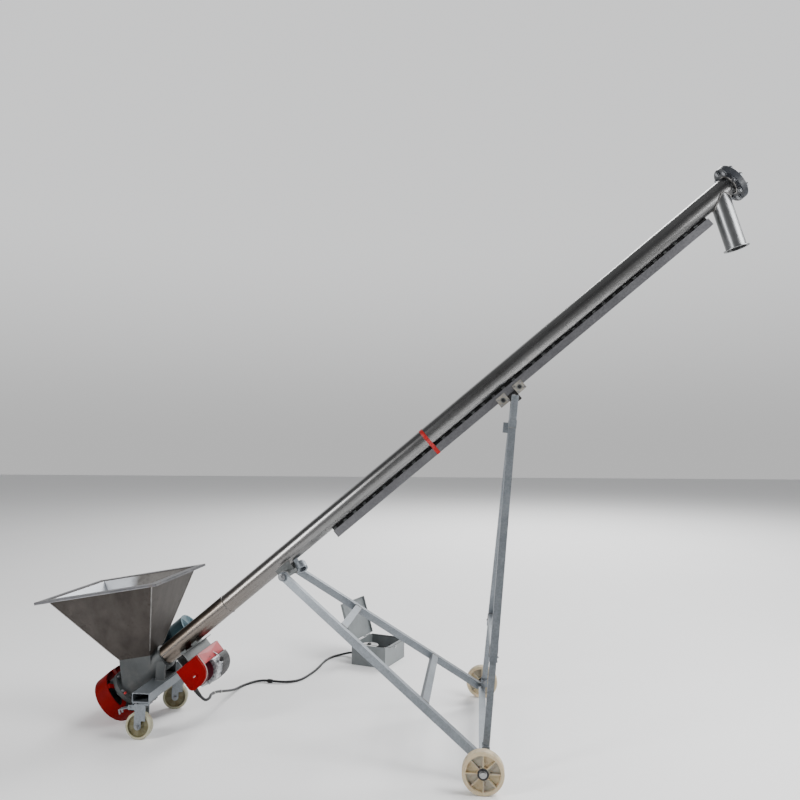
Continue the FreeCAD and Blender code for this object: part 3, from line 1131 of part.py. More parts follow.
def build_hoist():
    """Small electric hoist that hauls the trolley; it hangs across the machine under the tube."""
    s, o, top, front = (float(v) for v in (D.hoist_s, D.hoist_o, D.hoist_plate_o, D.hoist_front))
    channels = []
    length, upper = 340.0, -TUBE_RADIUS - 6
    for k, (start, shift) in enumerate(((-62, -4), (22, 4))):
        x = D.hoist_s + start
        tall = D.hoist_plate_o + upper
        stock = block(f"channel_stock_{k}", 40, length, tall, x=x, y=D.hoist_front - 4, z=-D.hoist_plate_o)
        hollow = block(f"channel_hollow_{k}", 40, length + 2, tall - 8, x=x + shift, y=D.hoist_front - 5,
                       z=-D.hoist_plate_o + 4)
        saddle = block(f"channel_saddle_{k}", 40, 70, 40, x=x, y=-35, z=upper - 0.5)
        seat = rod(f"channel_seat_{k}", TUBE_RADIUS + D.gap, 600, x=D.hoist_s - 300, along="x")
        whole = fuse(f"channel_whole_{k}", cut(f"channel_open_{k}", stock, hollow), saddle)
        channels.append(cut(f"hoist_channel_{k}", whole, seat))
    node(group("hoist_channels", *channels), TUBE)

    left, right, bottom = s - 72, s + 74, -o - 60
    plate_top = -top - 0.2
    cover = rounded_plate(left, right, plate_top, bottom, 30, 82).extrude(Vector(0, 26, 0))
    cover = cover.translated(Vector(0, front, 0))
    rear = rounded_plate(left, right, plate_top, bottom, 30, 82).extrude(Vector(0, 6, 0))
    rear = rear.translated(Vector(0, 150, 0))
    roof = Part.makeBox(right - left, 150 - front - 26, 5, Vector(left, front + 26, plate_top - 5))
    shaft_hole = Part.makeCylinder(10 + float(D.fit), 40, Vector(s, front + 10, -o), Vector(0, 1, 0))
    tie = Part.makeBox(5, 150 - front - 26, 69, Vector(right - 5, front + 26, plate_top - 69))
    aim = (Vector(*CABLE_ROUTE[1]) - Vector(*CABLE_ROUTE[0])).normalize()
    gland_room = Part.makeCylinder(float(D.cable_d) / 2 + 2 + float(D.gap), 80, Vector(*CABLE_ROUTE[0]) - aim * 27, aim)
    gland_room.Placement = TUBE.inverse().multiply(GROUND).multiply(gland_room.Placement)
    frame = cover.fuse([roof, rear, tie]).cut(shaft_hole.fuse(gland_room))
    shape_node("hoist_frame", frame.removeSplitter(), TUBE)

    gear_face = -58.0
    axis = {"x": D.hoist_s, "z": -D.hoist_o, "along": "y"}
    drum_y = D.hoist_front + 28
    drum_length = gear_face - 1 - drum_y
    drum = [rod("drum_barrel", D.drum_d / 2, drum_length, y=drum_y, **axis),
            rod("drum_cheek_near", 66, 5, y=drum_y, **axis),
            rod("drum_cheek_far", 66, 5, y=gear_face - 6, **axis),
            rod("drum_spindle", 10, drum_length + 30, y=drum_y - 15, **axis)]
    node(fuse("hoist_drum", *drum), TUBE)

    gear_r = D.gear_d / 2
    gear = rod("gear_round", gear_r, 84, y=gear_face, **axis)
    roof_room = block("gear_roof_room", 300, 400, 200, x=D.hoist_s - 150, y=-200, z=-D.hoist_plate_o - 5.6)
    tie_room = block("gear_tie_room", 60, 400, 90, x=D.hoist_s + 68.4, y=-200, z=-D.hoist_plate_o - 72.2)
    spindle_room = rod("gear_spindle_room", D.fit + 10, 30, y=gear_face - 10, **axis)
    case = cut("gear_case", gear, roof_room, tie_room, spindle_room)
    knob = aimed_rod("gear_knob", 9, 26, Vector(s + float(gear_r) - 8, -14, -o - 6), Vector(1, 0, -0.35))
    ears = [rod(f"gear_ear_{k}", 11, 84, x=D.hoist_s + (gear_r - 2) * math.cos(a), y=gear_face,
                z=-D.hoist_o + (gear_r - 2) * math.sin(a), along="y")
            for k, a in enumerate(map(math.radians, (-20, -75, -130)))]
    node(fuse("hoist_gear_case", case, knob, *ears), TUBE)

    motor = rod("hoist_motor_round", D.hoist_motor_d / 2, 118, x=D.hoist_s, y=gear_face + 84.2,
                z=-D.hoist_o - 4, along="y")
    motor_roof = block("motor_roof_room", 300, 400, 200, x=D.hoist_s - 150, y=-200, z=-D.hoist_plate_o - 5.6)
    motor_tie = block("motor_tie_room", 60, 400, 90, x=D.hoist_s + 68.4, y=-200, z=-D.hoist_plate_o - 72.2)
    node(cut("hoist_motor", motor, motor_roof, motor_tie), TUBE)


# ------------------------------------------------------------------ control box and cable
def build_box():
    """Steel control box on the ground, its lid open against its stop."""
    long_, wide, tall, sheet_t = D.box_length, D.box_width, D.box_height, D.box_sheet
    outer = block("box_outer", long_, wide, tall)
    inner = block("box_inner", long_ - sheet_t * 2, wide - sheet_t * 2, tall, x=sheet_t, y=sheet_t, z=sheet_t)
    gland_hole = rod("box_gland_hole", D.cable_d / 2 + 2 + D.gap, 20, x=-5, y=170, z=35, along="x")
    hinge_z = D.box_height + 3
    hinges = []
    for k, y in enumerate((30, 250)):
        hinges.append(rod(f"box_knuckle_{k}", 4, 60, x=-5, y=y, z=hinge_z, along="y"))
        hinges.append(block(f"box_leaf_{k}", 5, 60, 26, x=-4.4, y=y, z=hinge_z - 26))
    pin = rod("box_hinge_pin", 2, 282, x=-5, y=29, z=hinge_z, along="y")
    shell = cut("box_shell", outer, inner, gland_hole)
    node(fuse("control_box", shell, pin, *hinges), BOX)

    plate = block("fittings_plate", 236, 300, 3, x=22, y=20, z=sheet_t + D.gap)
    disc = fuse("fittings_disc", rod("disc_plate", 68, 26, x=100, y=96, z=100),
                rod("disc_post", 22, 94.6, x=100, y=96, z=5.3))
    relay = block("fittings_relay", 80, 60, 78, x=150, y=200, z=5.3)
    spare = block("fittings_spare", 56, 46, 70, x=60, y=215, z=5.3)
    node(group("box_fittings", plate, disc, relay, spare), BOX)

    depth = D.lid_depth
    lid = block("lid_outer", long_ + 8, wide + 8, depth, x=0.5, y=-4, z=hinge_z - depth + 8)
    hollow = block("lid_inner", long_ + 4.4, wide + 4.4, depth, x=2.3, y=-2.2, z=hinge_z - depth + 6)
    side_gap = block("lid_side_gap", 4, 400, 14.6, y=-20, z=hinge_z - 14)
    arms = []
    for k, y in enumerate((92, 216)):
        whole = fuse(f"lid_arm_whole_{k}", rod(f"lid_arm_{k}", 4, 32, x=-5, y=y, z=hinge_z, along="y"),
                     block(f"lid_strap_{k}", 12, 32, 3, x=-5, y=y, z=hinge_z + 5),
                     block(f"lid_post_{k}", 4, 32, 6, x=-7, y=y, z=hinge_z))
        pin_room = rod(f"lid_pin_room_{k}", D.fit + 2, 40, x=-5, y=y - 4, z=hinge_z, along="y")
        arms.append(cut(f"lid_arm_open_{k}", whole, pin_room))
    swung = Placement(Vector(), Rotation(Vector(0, 1, 0), -float(D.lid_open)), Vector(-5, 0, float(hinge_z)))
    node(fuse("box_lid", cut("lid_shell", lid, hollow, side_gap), *arms), BOX.multiply(swung))

    switch = rod("switch_post", 9, 20, x=long_ - 70, y=230, z=84)
    grip = block("switch_grip", 24, 6, 10, x=long_ - 82, y=227, z=104)
    node(fuse("selector_switch", switch, grip), BOX)


# Route of the cable, from the hoist to the control box, in the ground frame below the axle's middle.
CABLE_ROUTE = [
    (-1603, -159, 240.4), (-1561, -159, 190), (-1551, -96, 184), (-1572, -30, 176), (-1604, 62, 152),
    (-1616, 182, 128), (-1615, 330, 83), (-1619, 450, 48), (-1624, 555, 20), (-1620, 655, 8.4),
    (-1592, 714, 8.2), (-1552, 758, 10.6), (-1500, 778, 13.6), (-1410, 762, 13.6), (-1326, 770, 10.2),
    (-1250, 830, 8.2), (-1210, 990, 8.2), (-1192, 1118, 8.2), (-1187, 1243, 8.2), (-1172, 1345, 8.2),
    (-1140, 1424, 8.4), (-1086, 1472, 10), (-1028, 1466, 26), (-984, 1443.4, 35), (-929, 1425, 35),
]


def tangent_path(points):
    """Straight runs joined by arcs of 0.45 of the shorter run over the tangent of half the turn."""
    points = [Vector(*p) for p in points]
    edges, radii = [], []
    start = points[0]
    for before, corner, after in zip(points, points[1:], points[2:]):
        back, ahead = before - corner, after - corner
        turn = math.pi - back.getAngle(ahead)
        trim = 0.45 * min(back.Length, ahead.Length)
        radii.append(trim / math.tan(turn / 2))
        enter = corner + Vector(back).normalize() * trim
        leave = corner + Vector(ahead).normalize() * trim
        bisect = (Vector(back).normalize() + Vector(ahead).normalize()).normalize()
        depth = radii[-1] / math.cos(turn / 2) - radii[-1]
        edges.append(Part.LineSegment(start, enter).toShape())
        edges.append(Part.Arc(enter, corner + bisect * depth, leave).toShape())
        start = leave
    edges.append(Part.LineSegment(start, points[-1]).toShape())
    return Part.Wire(edges), radii


def build_cable():
    """Cable between hoist and control box, with the gland at each end, two ties and a taped joint."""
    path, radii = tangent_path(CABLE_ROUTE)
    radius = float(D.cable_d) / 2
    first = Vector(*CABLE_ROUTE[1]) - Vector(*CABLE_ROUTE[0])
    section = Part.Wire(Part.makeCircle(radius, Vector(*CABLE_ROUTE[0]), first))
    tube = path.makePipeShell([section], True, False)
    ideal = math.pi * radius ** 2 * path.Length
    print("cable length", round(path.Length), "mm; least bend", round(min(radii)), "mm; volume ratio",
          round(tube.Volume / ideal, 4))
    shape_node("power_cable", tube, GROUND)

    glands = []
    for near, far in ((CABLE_ROUTE[0], CABLE_ROUTE[1]), (CABLE_ROUTE[-1], CABLE_ROUTE[-2])):
        out = (Vector(*far) - Vector(*near)).normalize()
        root = Vector(*near)
        barrel = Part.makeCylinder(radius + 2, 26, root - out * 26, out)
        nut = Part.makeCylinder(radius + 5, 10, root - out * 12, out)
        glands.append(barrel.fuse(nut).removeSplitter())
    shape_node("cable_glands", Part.makeCompound(glands), GROUND)

    clips = []
    edges = path.Edges
    for index, spread, long_ in ((8, 2.5, 10), (10, 2.5, 10), (24, 5, 20)):
        run = edges[index]
        middle = (run.Vertexes[0].Point + run.Vertexes[-1].Point) / 2
        along = (run.Vertexes[-1].Point - run.Vertexes[0].Point).normalize()
        outer = Part.makeCylinder(radius + spread, long_, middle - along * (long_ / 2), along)
        inner = Part.makeCylinder(radius + 0.4, long_ + 4, middle - along * (long_ / 2 + 2), along)
        clips.append(outer.cut(inner))
    shape_node("cable_ties", Part.makeCompound(clips), GROUND)


def check_and_write():
    """Refuse a failed object or a bad shape, then write one file for each sub-part."""
    DOC.recompute()
    failed = [obj.Name for obj in DOC.Objects if "Invalid" in obj.State or "Error" in obj.State]
    if failed:
        raise RuntimeError(f"these objects failed: {failed}")
    bad = [obj.Label for obj in NODES if obj.Shape.isNull() or not obj.Shape.isValid() or not obj.Shape.Solids]
    if bad:
        raise RuntimeError(f"these shapes are not sound: {bad}")
    os.makedirs("parts", exist_ok=True)
    whole = None
    for obj in NODES:
        obj.Shape.exportStep(f"parts/{obj.Label}.step")
        bounds = obj.Shape.BoundBox
        whole = FreeCAD.BoundBox(bounds) if whole is None else whole.united(bounds)
        lowest = round(bounds.ZMin, 2)
        print(f"{obj.Label:20s} lowest {lowest:8.2f} solids {len(obj.Shape.Solids):3d} volume {obj.Shape.Volume / 1e3:10.1f} cm3")
    print("nodes", len(NODES), "box", whole)


build_tube()
build_flanges()
build_casing()
build_hopper()
build_screw()
build_drive()
build_rail()
build_pivot_lugs()
build_caster_beam()
build_casters()
build_lower_frame()
build_axle()
for side_name, side_sign in LEFT_RIGHT:
    build_road_wheel(side_name, side_sign)
build_legs()
build_trolley()
build_hoist()
build_box()
build_cable()
check_and_write()
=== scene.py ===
"""Looks of an inclined tube grain auger, built round its fixed CAD frame.  Lengths are metres."""

import json
import logging
import math
from dataclasses import dataclass
from enum import Enum

import bmesh
import bpy
import numpy as np
from mathutils import Matrix, Vector


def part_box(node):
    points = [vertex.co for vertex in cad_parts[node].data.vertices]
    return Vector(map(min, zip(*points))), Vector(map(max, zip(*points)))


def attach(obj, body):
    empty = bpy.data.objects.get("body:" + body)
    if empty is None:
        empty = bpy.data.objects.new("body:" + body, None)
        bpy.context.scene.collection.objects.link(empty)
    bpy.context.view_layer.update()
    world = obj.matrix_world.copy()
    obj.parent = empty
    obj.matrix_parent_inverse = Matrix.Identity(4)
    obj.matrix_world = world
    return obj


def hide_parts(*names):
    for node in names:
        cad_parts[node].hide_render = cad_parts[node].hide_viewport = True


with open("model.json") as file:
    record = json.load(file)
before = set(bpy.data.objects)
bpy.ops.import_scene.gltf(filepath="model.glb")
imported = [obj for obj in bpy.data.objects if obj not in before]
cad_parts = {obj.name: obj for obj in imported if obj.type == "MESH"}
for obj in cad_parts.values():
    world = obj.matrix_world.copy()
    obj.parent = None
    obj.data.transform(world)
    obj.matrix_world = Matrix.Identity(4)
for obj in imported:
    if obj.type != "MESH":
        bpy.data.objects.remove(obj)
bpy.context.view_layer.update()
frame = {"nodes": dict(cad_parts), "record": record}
LOG = logging.getLogger("grain_auger")
CREASE = math.radians(35.0)  # steeper edges of a piece stay sharp
Colour = tuple[float, float, float]


# ------------------------------------------------------------------ places
@dataclass(frozen=True)
class Axes:
    """A point with three square axes; a local row (along, left, up) is measured on them."""

    origin: np.ndarray
    along: np.ndarray
    left: np.ndarray
    up: np.ndarray

    @classmethod
    def aimed(cls, origin: np.ndarray, along: np.ndarray, hint: np.ndarray = np.array([0.0, 0.0, 1.0])) -> "Axes":
        """Make axes from one direction and a rough up.

        Args:
            origin: the point.
            along: the first axis, of any length.
            hint: roughly the third axis.
        Returns:
            Axes whose third axis is the part of the hint that is square to the first.
        """
        first = unit(along)
        if abs(float(first @ unit(hint))) > 0.98:
            hint = np.array([0.31, 0.95, 0.05])
        third = unit(hint - first * float(hint @ first))
        return cls(np.asarray(origin, float), first, np.cross(third, first), third)

    def out(self, points: np.ndarray) -> np.ndarray:
        """Turn local rows into world rows."""
        return self.origin + np.asarray(points, float) @ np.stack([self.along, self.left, self.up])

    def at(self, along: float = 0.0, left: float = 0.0, up: float = 0.0) -> "Axes":
        """The same axes moved to a local point."""
        return Axes(self.out(np.array([along, left, up])), self.along, self.left, self.up)

    def facing(self, direction: np.ndarray) -> "Axes":
        """Axes at the same point, with the first along a local direction."""
        return Axes.aimed(self.origin, np.asarray(direction, float) @ np.stack([self.along, self.left, self.up]),
                          self.up)

    def raised(self) -> "Axes":
        """Axes that face their own up."""
        return self.facing(np.array([0.0, 0.0, 1.0]))

    def sideways(self, side: float) -> "Axes":
        """Axes that face left for a positive side and right for a negative one."""
        return self.facing(np.array([0.0, float(side), 0.0]))

    def reversed(self) -> "Axes":
        """Axes that face the other way."""
        return self.facing(np.array([-1.0, 0.0, 0.0]))


def unit(vector: np.ndarray) -> np.ndarray:
    """A vector of length one."""
    vector = np.asarray(vector, float)
    return vector / np.linalg.norm(vector, axis=-1, keepdims=True)


def joint(name: str) -> dict:
    """A joint of the frame by its name."""
    return next(item for item in frame["record"]["behaviour"]["joints"] if item["name"] == name)


def middle(node: str) -> np.ndarray:
    """Middle of a CAD node's box."""
    low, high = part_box(node)
    return (np.array(low) + np.array(high)) / 2


AXLE = middle("axle_beam")
UPWARDS = np.array([0.0, 0.0, 1.0])
TUBE = Axes(np.array(joint("screw_spin")["pos_m"]), unit(joint("screw_spin")["axis"]),
            np.array([0.0, 1.0, 0.0]), np.cross(unit(joint("screw_spin")["axis"]), [0.0, 1.0, 0.0]))
TUBE_TILT = math.atan2(TUBE.along[2], TUBE.along[0])
TUBE_RADIUS = 0.05715
RIM = next(item for item in frame["record"]["mounts"] if item["name"] == "hopper_rim_face")
HINGE = joint("lid_close")


# ------------------------------------------------------------------ surfaces
@dataclass
class Shell:
    """Points and four-cornered faces of a surface; corners may fall together at a pole."""

    points: np.ndarray
    faces: np.ndarray

    def __add__(self, other: "Shell") -> "Shell":
        """Both surfaces as one."""
        return Shell(np.vstack([self.points, other.points]),
                     np.vstack([self.faces, other.faces + len(self.points)]))


def together(shells: list[Shell]) -> Shell:
    """Many surfaces as one."""
    counts = np.cumsum([0] + [len(shell.points) for shell in shells[:-1]])
    return Shell(np.vstack([shell.points for shell in shells]),
                 np.vstack([shell.faces + start for shell, start in zip(shells, counts)]))


def grid(points: np.ndarray, close_rows: bool = False, close_columns: bool = True) -> Shell:
    """Join a rows by columns array of points with faces.

    Args:
        points: array of shape (rows, columns, 3).
        close_rows: join the last row to the first.
        close_columns: join the last column to the first.
    Returns:
        The surface.
    """
    rows, columns = points.shape[:2]
    i, j = np.meshgrid(np.arange(rows if close_rows else rows - 1),
                       np.arange(columns if close_columns else columns - 1), indexing="ij")
    i, j = i.ravel(), j.ravel()
    after_i, after_j = (i + 1) % rows, (j + 1) % columns
    faces = np.stack([i * columns + j, i * columns + after_j, after_i * columns + after_j, after_i * columns + j], 1)
    return Shell(points.reshape(-1, 3), faces)


def lathe(axes: Axes, profile: list[tuple[float, float]], turns: int = 48, start: float = 0.0,
          sweep_angle: float = 2 * math.pi) -> Shell:
    """Turn a closed profile of (along, radius) points once round the first axis.

    Formula: point(i, t) = along_i on the axis plus radius_i times (cos t, sin t) across it.

    Args:
        axes: where and which way.
        profile: the outline, not repeated at its end.
        turns: steps round the axis.
        start: first angle.
        sweep_angle: a full turn, or less for a part of one.
    Returns:
        The surface.
    """
    shape = np.array(profile, float)
    whole = sweep_angle > 2 * math.pi - 1e-6
    angle = start + np.linspace(0, sweep_angle, turns, endpoint=not whole)
    local = np.stack([np.repeat(shape[:, :1], len(angle), 1),
                      shape[:, 1:] * np.cos(angle), shape[:, 1:] * np.sin(angle)], -1)
    return grid(axes.out(local), close_rows=True, close_columns=whole)


def sweep(path: np.ndarray, section: np.ndarray, hint: np.ndarray = UPWARDS, closed: bool = False,
          scale: np.ndarray | None = None) -> Shell:
    """Carry a closed section along a path.

    Formula: point(i, j) = path_i + section_j on the two directions square to the path there.

    Args:
        path: points, one a row.
        section: outline of (across, up) points.
        hint: roughly the section's up.
        closed: the path's end meets its start.
        scale: size of the section at each point.
    Returns:
        The surface, with closed ends unless the path is closed.
    """
    path = np.asarray(path, float)
    if closed:
        ahead = np.roll(path, -1, 0) - np.roll(path, 1, 0)
    else:
        ahead = np.gradient(path, axis=0)
    ahead = unit(ahead)
    up = unit(hint - ahead * (ahead @ np.asarray(hint, float))[:, None])
    across = np.cross(ahead, up)
    size = np.ones(len(path)) if scale is None else scale
    if not closed:
        path, across, up = (np.vstack([a[:1], a, a[-1:]]) for a in (path, across, up))
        size = np.concatenate([[0.0], size, [0.0]])
    local = section[None] * size[:, None, None]
    points = path[:, None] + local[..., :1] * across[:, None] + local[..., 1:] * up[:, None]
    return grid(points, close_rows=closed)


def ring_section(radius: float, count: int = 10, flat: float = 1.0) -> np.ndarray:
    """A round or flattened section: (cos t, flat sin t) times the radius."""
    angle = np.linspace(0, 2 * math.pi, count, endpoint=False)
    return np.stack([np.cos(angle), flat * np.sin(angle)], 1) * radius


def line(start: np.ndarray, end: np.ndarray, count: int) -> np.ndarray:
    """Evenly spaced points from one place to another."""
    return np.linspace(np.asarray(start, float), np.asarray(end, float), count)


def around(radius: float, count: int, first: float = 0.0) -> list[tuple[float, float]]:
    """Evenly spaced points on a circle, as (left, up), from a first angle."""
    angles = first + np.arange(count) * (2 * math.pi / count)
    return [(radius * math.cos(angle), radius * math.sin(angle)) for angle in angles]


def sides(corners: list, count: int = 9) -> np.ndarray:
    """Points along the straight sides from corner to corner, without the last corner."""
    return np.vstack([line(a, b, count)[:-1] for a, b in zip(corners, corners[1:])])


def square(half: float) -> list[tuple[float, float]]:
    """Corners of a square, the first one again at the end."""
    return [(-half, -half), (half, -half), (half, half), (-half, half), (-half, -half)]


def weld(path: np.ndarray, radius: float, pitch: float = 0.006, closed: bool = False,
         hint: np.ndarray = UPWARDS) -> Shell:
    """A weld bead: a small round section whose size ripples by a tenth along the path."""
    path = np.asarray(path, float)
    length = np.concatenate([[0], np.cumsum(np.linalg.norm(np.diff(path, axis=0), axis=1))])
    ripple = 1 + 0.12 * np.abs(np.sin(math.pi * length / pitch)) + 0.08 * np.sin(length * 71)
    return sweep(path, ring_section(radius, 8, 0.7), hint, closed, ripple)


def outline_box(half_x: float, half_y: float, radius: float, steps: int = 5) -> np.ndarray:
    """A rectangle with round corners: four quarter circles, counter-clockwise."""
    radius = min(radius, half_x, half_y)
    quarter = np.linspace(0, math.pi / 2, steps)
    corners = []
    for k, (side_x, side_y) in enumerate(((1, 1), (-1, 1), (-1, -1), (1, -1))):
        angle = quarter + k * math.pi / 2
        corners.append(np.stack([side_x * (half_x - radius) + radius * np.cos(angle),
                                 side_y * (half_y - radius) + radius * np.sin(angle)], 1))
    return np.vstack(corners)


def slab(axes: Axes, outline: np.ndarray, thick: float, edge: float = 0.0008) -> Shell:
    """A plate: an outline on (left, up), raised along the first axis, with eased edges and closed faces.

    Formula: each row is the outline drawn in towards its middle by the edge's quarter circle.
    """
    centre = outline.mean(0)
    reach = np.linalg.norm(outline - centre, axis=1).mean()
    turn = np.linspace(0, math.pi / 2, 4)
    inset = np.concatenate([[reach], edge * (1 - np.sin(turn)), edge * (1 - np.sin(turn[::-1])), [reach]])
    rise = np.concatenate([[0], edge * (1 - np.cos(turn)), thick - edge * (1 - np.cos(turn[::-1])), [thick]])
    size = 1 - inset / reach
    flat = centre + (outline - centre)[None] * size[:, None, None]
    local = np.concatenate([np.repeat(rise[:, None, None], len(outline), 1), flat], -1)
    return grid(axes.out(local))


def block(axes: Axes, size: tuple[float, float, float], radius: float = 0.002, edge: float = 0.001) -> Shell:
    """A rounded block that stands on the axes' point and rises along the first axis."""
    return slab(axes, outline_box(size[1] / 2, size[2] / 2, radius), size[0], edge)


def hexagon(axes: Axes, across: float, thick: float) -> Shell:
    """A nut or bolt head.

    Formula: radius(t) = half the flats over cos(t folded into a sixth of a turn); its top is chamfered.
    """
    angle = np.linspace(0, 2 * math.pi, 24, endpoint=False)
    folded = (angle + math.pi / 6) % (math.pi / 3) - math.pi / 6
    corner = across / 2 / np.cos(folded)
    rows = [(0.0, corner * 0), (0.0, corner), (thick * 0.86, corner), (thick, np.minimum(corner, across * 0.52)),
            (thick, corner * 0)]
    local = np.stack([np.stack([np.full_like(angle, rise), size * np.cos(angle), size * np.sin(angle)], -1)
                      for rise, size in rows])
    return grid(axes.out(local))


def bolt(axes: Axes, size: float, stud: float = 0.0) -> Shell:
    """A washer, a head, and a stud end where one shows."""
    washer = lathe(axes, [(0, size * 0.55), (0, size * 1.12), (size * 0.16, size * 1.12), (size * 0.2, size * 1.05),
                          (size * 0.2, size * 0.55)], 24)
    head = hexagon(axes.at(size * 0.2), size * 1.65, size * 0.66)
    if not stud:
        return washer + head
    end = lathe(axes, [(size * 0.3, 0), (size * 0.3, size * 0.5), (size * 0.86 + stud * 0.8, size * 0.5),
                       (size * 0.86 + stud, size * 0.4), (size * 0.86 + stud, 0)], 16)
    return washer + head + end


def disc(axes: Axes, radius: float, thick: float, edge: float = 0.001, turns: int = 32) -> Shell:
    """A round plate with an eased edge."""
    return lathe(axes, [(0, 0), (0, radius - edge), (edge, radius), (thick - edge, radius), (thick, radius - edge),
                        (thick, 0)], turns)


def band(axes: Axes, inner: float, outer: float, wide: float, turns: int = 48) -> Shell:
    """A ring with eased edges that starts at the axes' point."""
    edge = min(outer - inner, wide) * 0.25
    return lathe(axes, [(0, inner), (0, outer - edge), (edge, outer), (wide - edge, outer), (wide, outer - edge),
                        (wide, inner)], turns)


def circle(axes: Axes, radius: float, count: int = 72) -> np.ndarray:
    """Points round the first axis."""
    angle = np.linspace(0, 2 * math.pi, count, endpoint=False)
    return axes.out(np.stack([0 * angle, radius * np.cos(angle), radius * np.sin(angle)], 1))


# ------------------------------------------------------------------ shading
class Value:
    """One output socket of a node tree; arithmetic on it adds Math nodes."""

    def __init__(self, nodes: "Nodes", socket: bpy.types.NodeSocket) -> None:
        """Keep the socket and the tree it is in."""
        self.nodes = nodes
        self.socket = socket

    def maths(self, operation: str, first: "Value | float", second: "Value | float" = 0.0) -> "Value":
        """Add one Math node."""
        return self.nodes.node("ShaderNodeMath", {"operation": operation}, {0: first, 1: second})

    def __add__(self, other: "Value | float") -> "Value":
        """Sum."""
        return self.maths("ADD", self, other)

    def __radd__(self, other: float) -> "Value":
        """Sum, reflected."""
        return self.maths("ADD", other, self)

    def __sub__(self, other: "Value | float") -> "Value":
        """Difference."""
        return self.maths("SUBTRACT", self, other)

    def __rsub__(self, other: float) -> "Value":
        """Difference, reflected."""
        return self.maths("SUBTRACT", other, self)

    def __mul__(self, other: "Value | float") -> "Value":
        """Product."""
        return self.maths("MULTIPLY", self, other)

    def __rmul__(self, other: float) -> "Value":
        """Product, reflected."""
        return self.maths("MULTIPLY", other, self)

    def power(self, exponent: float) -> "Value":
        """This to a power."""
        return self.maths("POWER", self, exponent)

    def size(self) -> "Value":
        """Without its sign."""
        return self.maths("ABSOLUTE", self)

    def sine(self) -> "Value":
        """Sine."""
        return self.maths("SINE", self)

    def step(self, low: float, high: float) -> "Value":
        """Rise smoothly from nought at low to one at high."""
        return self.nodes.node("ShaderNodeMapRange", {"interpolation_type": "SMOOTHSTEP"},
                               {"Value": self, "From Min": low, "From Max": high})


class Nodes:
    """A node tree with object coordinates and one method that makes every node."""

    def __init__(self, tree: bpy.types.NodeTree) -> None:
        """Keep the tree and add its coordinates."""
        self.tree = tree
        self.place = self.node("ShaderNodeTexCoord", {}, {}, "Object")

    def node(self, kind: str, settings: dict, values: dict, output: str | int = 0) -> Value:
        """Add a node.

        Args:
            kind: its type.
            settings: its own properties, set first; "stops" fills a ramp.
            values: numbers, colours or links for its inputs.
            output: which output to return.
        Returns:
            The chosen output.
        """
        made = self.tree.nodes.new(kind)
        for key, value in settings.items():
            if key == "stops":
                ramp = made.color_ramp
                while len(ramp.elements) < len(value):
                    ramp.elements.new(0.5)
                for element, (spot, colour) in zip(ramp.elements, value):
                    element.position = spot
                    element.color = (*colour, 1.0)
            else:
                setattr(made, key, value)
        for key, value in values.items():
            socket = made.inputs[key]
            if isinstance(value, Value):
                self.tree.links.new(value.socket, socket)
            elif socket.type == "RGBA":
                socket.default_value = (*value, 1.0)
            else:
                socket.default_value = value
        return Value(self, made.outputs[output])

    def mix(self, factor: "Value | float", first: "Value | Colour", second: "Value | Colour") -> Value:
        """Blend two colours."""
        return self.node("ShaderNodeMix", {"data_type": "RGBA"}, {0: factor, 6: first, 7: second}, 2)

    def dot(self, vector: Value, direction: np.ndarray) -> Value:
        """How far a vector reaches along a direction."""
        return self.node("ShaderNodeVectorMath", {"operation": "DOT_PRODUCT"},
                         {0: vector, 1: tuple(float(v) for v in direction)}, "Value")


